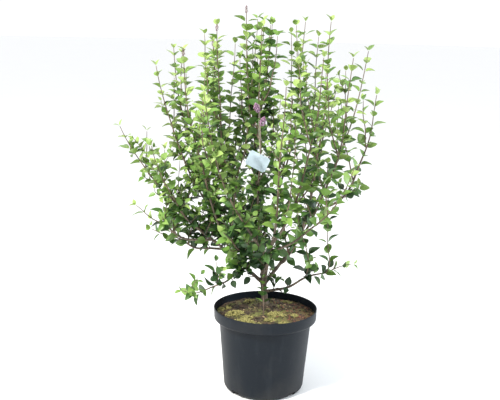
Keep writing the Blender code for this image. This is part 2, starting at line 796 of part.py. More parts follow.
def build_label(top, material):
    """A blank plastic card that hangs on a string."""
    bm = bmesh.new()
    bmesh.ops.create_cube(bm, size=1.0)
    bmesh.ops.scale(bm, verts=bm.verts, vec=(LABEL_WIDTH, LABEL_THICKNESS, LABEL_HEIGHT))
    centre = Vector(top) - Vector((0, 0, STRING_LENGTH))
    yaw = Matrix.Rotation(math.radians(LABEL_YAW), 3, "Z")
    turn = yaw @ Matrix.Rotation(math.radians(LABEL_ROLL), 3, "Y")
    bmesh.ops.rotate(bm, verts=bm.verts, cent=(0, 0, 0), matrix=turn)
    bmesh.ops.translate(bm, verts=bm.verts, vec=centre)
    card = add_object("label", bm, material)
    hole = centre + turn @ Vector((0, 0, LABEL_HOLE))
    points = np.array([hole, (hole + Vector(top)) / 2, top])
    string = add_object("string", tube(points, [STRING_RADIUS] * 3, 3), material)
    apply_boolean(card, "UNION", [string])
    return card


def main():
    """Clears the scene and builds every piece."""
    for item in list(bpy.data.objects):
        bpy.data.objects.remove(item)
    plastic = finish("black_plastic", (0.020, 0.022, 0.025), 0.45)
    compost = finish("compost", (0.060, 0.035, 0.018), 0.95)
    bark = finish("bark", (0.115, 0.085, 0.060), 0.80)
    leaf = finish("leaf", (0.160, 0.270, 0.055), 0.50)
    card = finish("label_plastic", (0.550, 0.640, 0.700), 0.50)

    build_pot(plastic)
    build_soil(compost)
    trunk = trunk_path()
    add_object("trunk", trunk_mesh(trunk), bark)
    grown = grow_boughs(trunk)
    top = string_top(grown)
    grow_shoots(grown, top)
    label = tree_of(build_label(top, card).data)
    for growth in grown.values():
        build_bough(growth, grown, trunk, bark)
    limbs = [growth.bough for growth in grown.values()] + [trunk]
    for index, growth in enumerate(grown.values()):
        others = [p for g in grown.values() if g is not growth for p, _ in g.shoots]
        build_mass(growth, Around(others, limbs, top, label), index, leaf)
    shoots = [path for growth in grown.values() for path, _ in growth.shoots]
    build_basal(Around(shoots, limbs[:-1], top, label), leaf)


main()
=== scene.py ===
"""Dressed model of a young many-stemmed flowering shrub in a round plastic growing pot.

Boughs, stems and side shoots grow by the same seeded rule as in the solids, and finer twigs,
leaves and flower heads grow on from them here. Lengths are in metres in the frame's own axes:
+Z is up, the photograph is taken from -Y, and the origin is the middle of the pot's underside.
"""

from __future__ import annotations

import json
import logging
import math
from collections.abc import Sequence
from dataclasses import dataclass, field
from enum import Enum
from random import Random

import bmesh
import bpy
import numpy as np
from mathutils import Matrix, Vector, noise

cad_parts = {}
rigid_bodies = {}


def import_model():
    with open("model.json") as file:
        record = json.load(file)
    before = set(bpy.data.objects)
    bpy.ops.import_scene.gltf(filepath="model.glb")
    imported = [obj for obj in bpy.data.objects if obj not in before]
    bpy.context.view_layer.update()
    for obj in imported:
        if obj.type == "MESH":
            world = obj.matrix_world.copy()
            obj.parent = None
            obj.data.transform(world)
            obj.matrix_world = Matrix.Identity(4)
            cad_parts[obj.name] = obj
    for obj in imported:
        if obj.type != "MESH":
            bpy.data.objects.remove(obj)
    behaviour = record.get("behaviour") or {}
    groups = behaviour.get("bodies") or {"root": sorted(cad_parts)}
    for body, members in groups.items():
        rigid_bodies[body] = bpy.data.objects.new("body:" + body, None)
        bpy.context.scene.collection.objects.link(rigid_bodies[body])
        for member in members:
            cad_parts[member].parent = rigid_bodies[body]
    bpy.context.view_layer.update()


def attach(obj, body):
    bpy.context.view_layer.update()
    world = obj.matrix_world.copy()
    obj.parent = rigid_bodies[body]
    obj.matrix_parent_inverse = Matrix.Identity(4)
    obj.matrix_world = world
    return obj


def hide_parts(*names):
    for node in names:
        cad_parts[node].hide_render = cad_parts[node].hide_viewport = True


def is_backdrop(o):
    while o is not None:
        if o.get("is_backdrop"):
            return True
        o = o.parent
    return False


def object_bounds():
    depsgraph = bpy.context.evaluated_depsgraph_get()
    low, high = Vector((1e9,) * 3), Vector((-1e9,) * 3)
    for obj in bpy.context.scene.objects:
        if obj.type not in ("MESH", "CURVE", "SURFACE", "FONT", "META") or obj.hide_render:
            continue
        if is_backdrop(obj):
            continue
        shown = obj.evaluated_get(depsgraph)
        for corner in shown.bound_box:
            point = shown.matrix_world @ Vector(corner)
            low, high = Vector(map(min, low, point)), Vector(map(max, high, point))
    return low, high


LOG = logging.getLogger("shrub")
ROOT = "root"
Array = np.ndarray
Colour = tuple[float, float, float]
Point = tuple[float, float, float]
Pair = tuple[float, float]
Tube = tuple[Array, list[tuple[int, ...]]]
BARK_WAVES = np.array([300.0, 300.0, 90.0])  # of its relief, in a metre
SIDEWAYS = 0.8  # share of a path's first step above which it counts as running to the side
# A bit has four corners around it and one at each end
BIT_FACES = ((0, 1, 4), (1, 2, 4), (2, 3, 4), (3, 0, 4), (1, 0, 5), (2, 1, 5), (3, 2, 5), (0, 3, 5))


@dataclass(frozen=True)
class Grain:
    """A noise over a surface."""

    waves: float  # in a metre
    detail: float = 3.0  # how many finer layers
    stretch: Point = (1, 1, 1)  # factors on the coordinates
    roughness: float = 0.6


@dataclass(frozen=True)
class Patch:
    """The values between which something comes in, and how strong it gets."""

    low: float
    high: float
    strength: float = 1.0


class Socket:
    """A shader socket on which arithmetic adds Math nodes."""

    def __init__(self, shader: Shader, link: bpy.types.NodeSocket) -> None:
        """Keeps the shader that new nodes go to, and the socket itself."""
        self.shader = shader
        self.link = link

    def _math(self, operation: str, first: Socket | float, second: Socket | float) -> Socket:
        """One Math node on two values."""
        return self.shader.node("ShaderNodeMath", {"operation": operation}, {0: first, 1: second})

    def __add__(self, other: Socket | float) -> Socket:
        """Sum."""
        return self._math("ADD", self, other)

    __radd__ = __add__

    def __sub__(self, other: Socket | float) -> Socket:
        """Difference."""
        return self._math("SUBTRACT", self, other)

    def __rsub__(self, other: Socket | float) -> Socket:
        """Reflected difference, so that 1 - mask works."""
        return self._math("SUBTRACT", other, self)

    def __mul__(self, other: Socket | float) -> Socket:
        """Product."""
        return self._math("MULTIPLY", self, other)

    __rmul__ = __mul__


class Shader:
    """One procedural material while it is put together."""

    def __init__(self, name: str) -> None:
        """Starts a material with a Principled shader.

        Args:
            name: The material's name.
        """
        self.material = bpy.data.materials.new(name)
        self.material.use_nodes = True
        self.tree = self.material.node_tree
        self.surface = self.tree.nodes["Principled BSDF"]

    def node(
        self,
        kind: str,
        settings: dict | None = None,
        inputs: dict | None = None,
        out: int | str = 0,
    ) -> Socket:
        """Adds any node.

        Args:
            kind: The node's type.
            settings: Its attributes, such as a Math node's operation.
            inputs: Values or sockets, by input name or number.
            out: The output wanted.

        Returns:
            The chosen output.
        """
        made = self.tree.nodes.new(kind)
        for key, value in (settings or {}).items():
            setattr(made, key, value)
        for key, value in (inputs or {}).items():
            self.feed(made.inputs[key], value)
        return Socket(self, made.outputs[out])

    def feed(self, target: bpy.types.NodeSocket, value: object) -> None:
        """Links a socket, or sets a plain number or colour.

        Args:
            target: The input.
            value: What goes into it.
        """
        if isinstance(value, Socket):
            self.tree.links.new(value.link, target)
        elif isinstance(value, tuple) and len(value) == 3 and target.type == "RGBA":
            target.default_value = (*value, 1.0)
        else:
            target.default_value = value

    def place(self) -> Socket:
        """The object's own coordinates."""
        return self.node("ShaderNodeTexCoord", out="Object")

    def axes(self) -> tuple[Socket, ...]:
        """The object's own three coordinates, one by one."""
        split = self.node("ShaderNodeSeparateXYZ", None, {0: self.place()}).link.node
        return tuple(Socket(self, output) for output in split.outputs)

    def noise(self, grain: Grain) -> Socket:
        """Noise from 0 to 1.

        Args:
            grain: What it is like.

        Returns:
            The noise value.
        """
        where = self.place()
        if grain.stretch != (1, 1, 1):
            stretched = {"Vector": where, "Scale": grain.stretch}
            where = self.node("ShaderNodeMapping", None, stretched)
        made = {"Vector": where, "Scale": grain.waves, "Detail": grain.detail}
        made["Roughness"] = grain.roughness
        return self.node("ShaderNodeTexNoise", None, made)

    def mask(self, value: Socket, patch: Patch) -> Socket:
        """A smooth step from 0 to a patch's strength.

        Args:
            value: The value that decides.
            patch: Where the step starts and ends, and its strength.

        Returns:
            The step.
        """
        made = {"Value": value, "From Min": patch.low, "From Max": patch.high}
        made["To Max"] = patch.strength
        return self.node("ShaderNodeMapRange", {"interpolation_type": "SMOOTHSTEP"}, made)

    def mix(self, factor: Socket | float, first: object, second: object) -> Socket:
        """A colour between two others."""
        made = {"Factor": factor, 6: first, 7: second}
        return self.node("ShaderNodeMix", {"data_type": "RGBA"}, made, out=2)

    def bump(self, height: Socket, distance: float, strength: float = 1.0) -> Socket:
        """A bump's normal, with its depth in metres."""
        made = {"Height": height, "Distance": distance, "Strength": strength}
        return self.node("ShaderNodeBump", None, made)

    def finish(self, **inputs: object) -> bpy.types.Material:
        """Feeds the Principled shader.

        Args:
            inputs: Its inputs by name, with underscores for spaces.

        Returns:
            The finished material.
        """
        for key, value in inputs.items():
            self.feed(self.surface.inputs[key.replace("_", " ")], value)
        return self.material


@dataclass(frozen=True)
class PotPlastic:
    """Moulded charcoal plastic with dust, splashes of soil and scuffs."""

    base: Colour = (0.0060, 0.0095, 0.0145)
    worn: Colour = (0.0135, 0.0180, 0.0240)
    dust: Colour = (0.050, 0.048, 0.044)
    cloud: Grain = Grain(9.0, 4.0)
    speck: Grain = Grain(420.0, 2.0)
    scuff: Grain = Grain(34.0, 5.0, (1.0, 1.0, 0.16))
    mould: Grain = Grain(900.0, 2.0)
    foot: Patch = Patch(0.0, 0.07)  # height over which the pot gets less dusty
    foot_dust: float = 0.22
    scuffed: Patch = Patch(0.50, 0.74, 0.65)
    dusty: Patch = Patch(0.48, 0.90, 0.34)
    splashed: Patch = Patch(0.66, 0.74, 0.30)
    rough: float = 0.36
    dust_rough: float = 0.4
    scuff_rough: float = 0.14
    specular: float = 0.26
    index: float = 1.36
    relief: Pair = (0.00018, 0.5)  # depth and strength

    def make(self) -> bpy.types.Material:
        """Builds the nodes.

        Returns:
            The finished material.
        """
        shader = Shader("pot_plastic")
        low = 1.0 - shader.mask(shader.axes()[2], self.foot)
        scuff = shader.noise(self.scuff)
        dusty = shader.mask(shader.noise(self.cloud) + low * self.foot_dust, self.dusty)
        spots = shader.mask(shader.noise(self.speck), self.splashed)
        colour = shader.mix(shader.mask(scuff, self.scuffed), self.base, self.worn)
        return shader.finish(
            Base_Color=shader.mix(dusty + spots, colour, self.dust),
            Roughness=self.rough + dusty * self.dust_rough + scuff * self.scuff_rough,
            Specular_IOR_Level=self.specular,
            IOR=self.index,
            Normal=shader.bump(shader.noise(self.mould) + scuff, *self.relief),
        )


@dataclass(frozen=True)
class CompostEarth:
    """Dark crumbly compost with a green film on its lumps, reddish at the right, and painted
    near-black shade in the hollows between its lumps and below its open top.
    """

    # near-black painted shade, in the hollows between lumps and below the open top
    painted_shade: Colour = (0.006, 0.005, 0.004)
    dark: Colour = (0.022, 0.016, 0.010)
    brown: Colour = (0.105, 0.066, 0.036)
    film: Colour = (0.150, 0.158, 0.040)
    red: Colour = (0.170, 0.064, 0.036)
    crumb: Grain = Grain(260.0, 5.0)
    lump: Grain = Grain(55.0, 4.0)
    cloud: Grain = Grain(24.0)
    top: Patch = Patch(0.19, 0.20)  # height from which the compost is in the open; below it, it is painted near-black as shade inside the pot
    browned: Patch = Patch(0.62, 0.98)
    raised: Patch = Patch(0.34, 0.50)
    mossy: Patch = Patch(0.58, 0.76, 0.85)
    right: Patch = Patch(0.02, 0.09)  # way to the right over which red bits come in
    reddish: Patch = Patch(0.46, 0.60, 0.75)
    lump_share: float = 0.6  # of the lumps in what is brown
    crumb_share: float = 0.3  # of the crumbs in what is mossy
    # how far the hollows are darkened towards the painted shade
    hollow_shade_share: float = 0.8
    rough: float = 0.92
    relief: float = 0.0030

    def make(self) -> bpy.types.Material:
        """Builds the nodes.

        Returns:
            The finished material.
        """
        shader = Shader("compost_earth")
        across, _, height = shader.axes()
        crumb = shader.noise(self.crumb)
        lump = shader.noise(self.lump)
        top = shader.mask(height, self.top)
        brown = shader.mask(crumb + lump * self.lump_share, self.browned)
        # painted shade: the hollows between the raised lumps are darkened towards near-black
        hollow_shade = (1.0 - shader.mask(lump, self.raised)) * self.hollow_shade_share
        mossy = shader.mask(shader.noise(self.cloud) + crumb * self.crumb_share, self.mossy) * top
        reddish = shader.mask(across, self.right) * shader.mask(crumb, self.reddish)
        colour = shader.mix(brown, self.dark, self.brown)
        colour = shader.mix(hollow_shade, colour, self.painted_shade)
        colour = shader.mix(mossy, colour, self.film)
        colour = shader.mix(reddish, colour, self.red)
        return shader.finish(
            # painted shade: below the open top, the compost is near-black
            Base_Color=shader.mix(1.0 - top, colour, self.painted_shade),
            Roughness=self.rough,
            Normal=shader.bump(crumb + lump, self.relief),
        )


@dataclass(frozen=True)
class Bark:
    """Grey-brown young bark with fine upright cracks and pale breathing pores."""

    name: str
    dark: Colour
    light: Colour
    relief: float
    pale: Colour = (0.36, 0.31, 0.24)
    crack: Grain = Grain(260.0, 5.0, (1.0, 1.0, 0.22))
    tone: Grain = Grain(30.0)
    pore: Grain = Grain(640.0, 1.0, (1.0, 1.0, 1.8))
    lighter: Patch = Patch(0.55, 1.05)
    pores: Patch = Patch(0.64, 0.70, 0.35)
    tone_share: float = 0.6
    rough: float = 0.78

    def make(self) -> bpy.types.Material:
        """Builds the nodes.

        Returns:
            The finished material.
        """
        shader = Shader(self.name)
        crack = shader.noise(self.crack)
        light = shader.mask(crack + shader.noise(self.tone) * self.tone_share, self.lighter)
        colour = shader.mix(light, self.dark, self.light)
        pores = shader.mask(shader.noise(self.pore), self.pores)
        return shader.finish(
            Base_Color=shader.mix(pores, colour, self.pale),
            Roughness=self.rough,
            Normal=shader.bump(crack, self.relief),
        )


class Tint(Enum):
    """The greens of the leaves, from the pale growing tips and painted light outside to the painted
    shade of the inside.
    """

    TIP = (0.275, 0.390, 0.105)
    YOUNG = (0.190, 0.312, 0.068)
    FULL = (0.125, 0.240, 0.042)
    DEEP = (0.058, 0.134, 0.029)
    SHADE = (0.022, 0.058, 0.016)


@dataclass(frozen=True)
class LeafSkin:
    """A soft satin leaf in one plain green, with a faint grain of veins in its shine."""

    tint: Tint
    vein: Grain = Grain(700.0, 2.0)
    rough: float = 0.34
    vein_rough: float = 0.20
    specular: float = 0.50
    relief: Pair = (0.0003, 0.5)  # depth and strength

    def make(self) -> bpy.types.Material:
        """Builds the nodes.

        Returns:
            The finished material.
        """
        shader = Shader(f"leaf_{self.tint.name.lower()}")
        vein = shader.noise(self.vein)
        return shader.finish(
            Base_Color=self.tint.value,
            Roughness=self.rough + vein * self.vein_rough,
            Specular_IOR_Level=self.specular,
            Normal=shader.bump(vein, *self.relief),
        )


@dataclass(frozen=True)
class Petal:
    """Buds and faded florets, with a little colour change from one to the next."""

    name: str
    first: Colour
    second: Colour
    cloud: Grain = Grain(180.0, 2.0)
    change: Patch = Patch(0.35, 0.65)
    rough: float = 0.60
    sheen: float = 0.2

    def make(self) -> bpy.types.Material:
        """Builds the nodes.

        Returns:
            The finished material.
        """
        shader = Shader(self.name)
        change = shader.mask(shader.noise(self.cloud), self.change)
        colour = shader.mix(change, self.first, self.second)
        return shader.finish(Base_Color=colour, Roughness=self.rough, Sheen_Weight=self.sheen)


@dataclass(frozen=True)
class Crumb:
    """Bits of bark, peat, moss and fibre, darker and lighter in patches."""

    name: str
    dark: Colour
    light: Colour
    grain: Grain = Grain(380.0, 4.0)
    lighter: Patch = Patch(0.34, 0.66)
    rough: float = 0.88
    relief: float = 0.0006

    def make(self) -> bpy.types.Material:
        """Builds the nodes.

        Returns:
            The finished material.
        """
        shader = Shader(self.name)
        grain = shader.noise(self.grain)
        return shader.finish(
            Base_Color=shader.mix(shader.mask(grain, self.lighter), self.dark, self.light),
            Roughness=self.rough,
            Normal=shader.bump(grain, self.relief),
        )


@dataclass(frozen=True)
class Card:
    """Pale blue-white label plastic, rain-marked."""

    pale: Colour = (0.43, 0.53, 0.60)
    marked: Colour = (0.33, 0.42, 0.48)
    stain: Grain = Grain(70.0, 4.0)
    stained: Patch = Patch(0.45, 0.75)
    rough: float = 0.42
    stain_rough: float = 0.2

    def make(self) -> bpy.types.Material:
        """Builds the nodes.

        Returns:
            The finished material.
        """
        shader = Shader("label_card")
        stain = shader.noise(self.stain)
        return shader.finish(
            Base_Color=shader.mix(shader.mask(stain, self.stained), self.pale, self.marked),
            Roughness=self.rough + stain * self.stain_rough,
        )


class Pool:
    """Many small shapes gathered into one mesh."""

    def __init__(self) -> None:
        """An empty pool."""
        self.points: list[Array] = []
        self.faces: list[tuple[int, ...]] = []
        self.count = 0

    def add(self, points: Array, faces: Sequence[Sequence[int]]) -> None:
        """Adds one shape.

        Args:
            points: Its points, one row each.
            faces: Point numbers of each face.
        """
        start = self.count
        self.points.append(points)
        self.faces.extend(tuple(start + k for k in face) for face in faces)
        self.count += len(points)

    def build(
        self,
        name: str,
        material: bpy.types.Material,
        slot: str,
        nodes: Sequence[str],
        smooth: bool = True,
    ) -> None:
        """Makes and dresses the piece.

        Args:
            name: The piece's name.
            material: Its finish.
            slot: The record's material slot; it is not used.
            nodes: The solids that it stands for.
            smooth: Whether it is shaded smooth.
        """
        mesh = bpy.data.meshes.new(name)
        mesh.from_pydata(np.concatenate(self.points).tolist(), [], self.faces)
        mesh.update()
        if smooth:
            mesh.shade_smooth()
        mesh.materials.append(material)
        declare(linked(name, mesh), nodes)


def linked(name: str, data: bpy.types.ID) -> bpy.types.Object:
    """Makes an object and puts it into the scene.

    Args:
        name: Its name.
        data: Its mesh, camera or light.

    Returns:
        The object.
    """
    item = bpy.data.objects.new(name, data)
    bpy.context.scene.collection.objects.link(item)
    return item


def mesh_of(name: str, bm: bmesh.types.BMesh) -> bpy.types.Mesh:
    """Turns an edit mesh into a mesh, and frees it.

    Args:
        name: The mesh's name.
        bm: The edit mesh.

    Returns:
        The mesh.
    """
    mesh = bpy.data.meshes.new(name)
    bm.to_mesh(mesh)
    bm.free()
    return mesh


def declare(item: bpy.types.Object, nodes: Sequence[str]) -> None:
    """Declares a finished piece and reports it.

    Args:
        item: The piece, which rides on the shrub's body.
        nodes: The solids that it stands for.
    """
    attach(item, ROOT)
    if nodes:
        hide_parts(*nodes)
    LOG.info("%s: %d faces", item.name, len(item.data.polygons))


def unit(vector: Array) -> Array:
    """The same direction with length one."""
    return vector / np.linalg.norm(vector)


def direction(azimuth: float, rise: float) -> Array:
    """Unit vector from two angles in degrees."""
    a, r = math.radians(azimuth), math.radians(rise)
    return np.array([math.cos(r) * math.cos(a), math.cos(r) * math.sin(a), math.sin(r)])


def frames_along(points: Array) -> tuple[Array, Array, Array]:
    """Directions along a path, turning as little as they can.

    Args:
        points: The path.

    Returns:
        Two cross directions and the forward one at each point.
    """
    forward = np.gradient(points, axis=0)
    forward /= np.linalg.norm(forward, axis=1)[:, None]
    sideways = abs(forward[0][0]) >= SIDEWAYS
    start = np.array([0.0, 1.0, 0.0] if sideways else [1.0, 0.0, 0.0])
    side = start - forward[0] * start.dot(forward[0])
    sides = []
    for along in forward:
        side = unit(side - along * side.dot(along))
        sides.append(side)
    sides = np.array(sides)
    return sides, np.cross(forward, sides), forward


def length_of(path: Array) -> float:
    """Length of a path."""
    return float(np.linalg.norm(np.diff(path, axis=0), axis=1).sum())


def distance_to(points: Array, path: Array) -> Array:
    """Distance of each point to the nearest place on a path of straight steps.

    Args:
        points: One row for each point.
        path: One row for each corner of the path.

    Returns:
        One distance for each point.
    """
    start, step = path[:-1], np.diff(path, axis=0)
    reach = points[:, None, :] - start[None]
    share = ((reach * step[None]).sum(-1) / (step**2).sum(-1)[None]).clip(0.0, 1.0)
    off = reach - share[..., None] * step[None]
    return np.sqrt((off**2).sum(-1)).min(axis=1)


def ring_faces(rings: int, count: int) -> list[tuple[int, ...]]:
    """Faces between closed rings that follow one another.

    Args:
        rings: How many rings.
        count: Points in each.

    Returns:
        Point numbers of each face.
    """
    faces = []
    for k in range(rings - 1):
        for j in range(count):
            n = (j + 1) % count
            base = k * count
            faces.append((base + j, base + n, base + count + n, base + count + j))
    return faces


def tube(path: Array, radii: Array, count: int, relief: float = 0.0) -> Tube:
    """A closed tube along a path.

    Args:
        path: Its middle line.
        radii: One radius for each point of the path.
        count: Sides.
        relief: How far the bark stands up and down, as a share of the radius.

    Returns:
        Points and faces.
    """
    sides, ups, _ = frames_along(path)
    angles = np.linspace(0.0, 2 * math.pi, count, endpoint=False)
    rings = []
    for k, (point, radius) in enumerate(zip(path, radii, strict=True)):
        ring = point + radius * (
            np.cos(angles)[:, None] * sides[k] + np.sin(angles)[:, None] * ups[k]
        )
        if relief:
            lift = [noise.noise(Vector(p * BARK_WAVES)) for p in ring]
            ring += (ring - point) * relief * np.array(lift)[:, None]
        rings.append(ring)
    faces = ring_faces(len(path), count)
    last = (len(path) - 1) * count
    faces.append(tuple(range(count))[::-1])
    faces.append(tuple(last + j for j in range(count)))
    return np.concatenate(rings), faces


@dataclass
class PotSizes:
    """The pot's and the compost's sizes, as in the solids."""

    height: float = 0.229
    rim: float = 0.140
    collar: float = 0.029
    shoulder: float = 0.008
    body_top: float = 0.1245
    body_base: float = 0.109
    corner: float = 0.016
    wall: float = 0.0022
    soil_edge: float = 0.209
    soil_mound: float = 0.222
    mound_radius: float = 0.024
    foot: Pair = (0.000, 0.046)  # of the trunk, to the right and to the back
    corner_part: Pair = (-90.0, -4.0)  # degrees of the rounded bottom corner
    corner_points: int = 9
    ledge: tuple[Point, ...] = (  # radius and height past the body's top, share of the inset
        (-0.0004, -0.004, 0.4),
        (0.0, 0.0, 0.4),
        (0.004, 0.0022, 0.5),
    )
    lip_inset: float = 0.0012
    lip: tuple[Point, ...] = (  # the same, past the collar's lower edge
        (-0.003, -0.003, 0.8),
        (-0.0008, -0.0006, 0.6),
        (0.0, 0.002, 0.4),
    )
    crown: Pair = (0.0004, 0.006)  # inside the rim and below it, where the rounding starts

    def profile(self, inset: float) -> list[Pair]:
        """The outline from the bottom edge to the rim.

        Args:
            inset: How far it is moved in.

        Returns:
            Radius and height of each point.
        """
        centre = (self.body_base - self.corner, self.corner)
        angles = np.radians(np.linspace(*self.corner_part, self.corner_points))
        radius = self.corner - inset
        line = [
            (centre[0] + radius * math.cos(a), centre[1] + radius * math.sin(a)) for a in angles
        ]
        top = self.height - self.collar
        starts = (
            (self.body_top, top - self.shoulder, self.ledge),
            (self.rim - self.lip_inset, top, self.lip),
        )
        for reach, height, steps in starts:
            line += [(reach + out - inset, height + up + inset * share) for out, up, share in steps]
        line.append((self.rim - self.crown[0] - inset, self.height - self.crown[1]))
        return line


@dataclass
class Pot:
    """The growing pot: one thin wall with a wider collar, a rounded lip and drainage notches."""

    sizes: PotSizes = field(default_factory=PotSizes)
    sides: int = 96
    notches: int = 4
    notch: Point = (0.032, 0.034, 0.028)  # depth, width, twice the height
    azimuth: float = 45.0  # of the first notch
    lip_points: int = 7
    weld: float = 1e-6
    notch_taper: float = 0.72  # width at the top, as a share of the foot's
    sharp: float = 38.0  # degrees above which an edge stays sharp

    def build(self) -> None:
        """Makes and dresses the pot."""
        size = self.sizes
        lip = size.wall / 2
        turn = np.linspace(0, math.pi, self.lip_points)
        middle = (size.rim - lip, size.height - lip)
        crown = [(middle[0] + lip * math.cos(a), middle[1] + lip * math.sin(a)) for a in turn]
        outline = [(0.0, 0.0)] + size.profile(0.0) + crown
        outline += size.profile(size.wall)[::-1] + [(0.0, size.wall)]
        bm = bmesh.new()
        verts = [bm.verts.new((radius, 0.0, height)) for radius, height in outline]
        edges = [bm.edges.new(pair) for pair in zip(verts, verts[1:], strict=False)]
        bmesh.ops.spin(
            bm,
            geom=verts + edges,
            axis=(0, 0, 1),
            angle=2 * math.pi,
            steps=self.sides,
            use_merge=True,
        )
        bmesh.ops.remove_doubles(bm, verts=bm.verts, dist=self.weld)
        bmesh.ops.recalc_face_normals(bm, faces=bm.faces)
        item = linked("pot_shell", mesh_of("pot_shell", bm))
        self.cut_notches(item)
        mesh = item.data
        mesh.materials.clear()
        mesh.materials.append(PotPlastic().make())
        mesh.shade_smooth()
        mesh.set_sharp_from_angle(angle=math.radians(self.sharp))
        declare(item, ["pot"])

    def cut_notches(self, item: bpy.types.Object) -> None:
        """Cuts the drainage notches out of the bottom edge.

        Args:
            item: The pot.
        """
        cutters = bmesh.new()
        for k in range(self.notches):
            turn = Matrix.Rotation(math.radians(self.azimuth + 360 * k / self.notches), 4, "Z")
            place = turn @ Matrix.Translation((self.sizes.body_base, 0, 0))
            made = bmesh.ops.create_cube(
                cutters, size=1.0, matrix=place @ Matrix.Diagonal((*self.notch, 1.0))
            )["verts"]
            for vert in made:
                if vert.co.z > 0:
                    local = place.inverted() @ vert.co
                    local.y *= self.notch_taper
                    vert.co = place @ local
        helper = linked("notches", mesh_of("notches", cutters))
        modifier = item.modifiers.new("notches", "BOOLEAN")
        modifier.object = helper
        modifier.solver = "EXACT"
        bpy.context.view_layer.update()
        graph = bpy.context.evaluated_depsgraph_get()
        cut = bpy.data.meshes.new_from_object(item.evaluated_get(graph), depsgraph=graph)
        item.modifiers.clear()
        item.data = cut
        bpy.data.objects.remove(helper)


@dataclass(frozen=True)
class Relief:
    """Ups and downs of a surface, by fractal noise."""

    height: float
    waves: float  # in a metre
    level: float  # the noise's third coordinate
    fade: float  # how fast the finer layers fade
    spread: float  # how much finer each layer is
    layers: int

    def at(self, x: float, y: float) -> float:
        """How far the surface stands up at one place."""
        where = Vector((x * self.waves, y * self.waves, self.level))
        return self.height * noise.fractal(where, self.fade, self.spread, self.layers)


@dataclass(frozen=True)
class Chips:
    """One kind of bit that is strewn over the compost."""

    kind: Crumb
    count: int
    size: float  # usual half length
    heart: float = 0.0  # how far right they gather, or 0 where they lie anywhere


@dataclass(frozen=True)
class BitShape:
    """How irregular a six-cornered bit is."""

    thick: Pair  # share of its length
    long: Pair = (0.35, 1.3)  # share of the usual length
    wide: Pair = (0.35, 0.8)  # share of its length
    tilt: float = 0.5  # radians at most
    raised: float = 0.35  # its middle above the surface, as a share of its thickness
    rough: Pair = (0.75, 1.25)  # factor on each corner


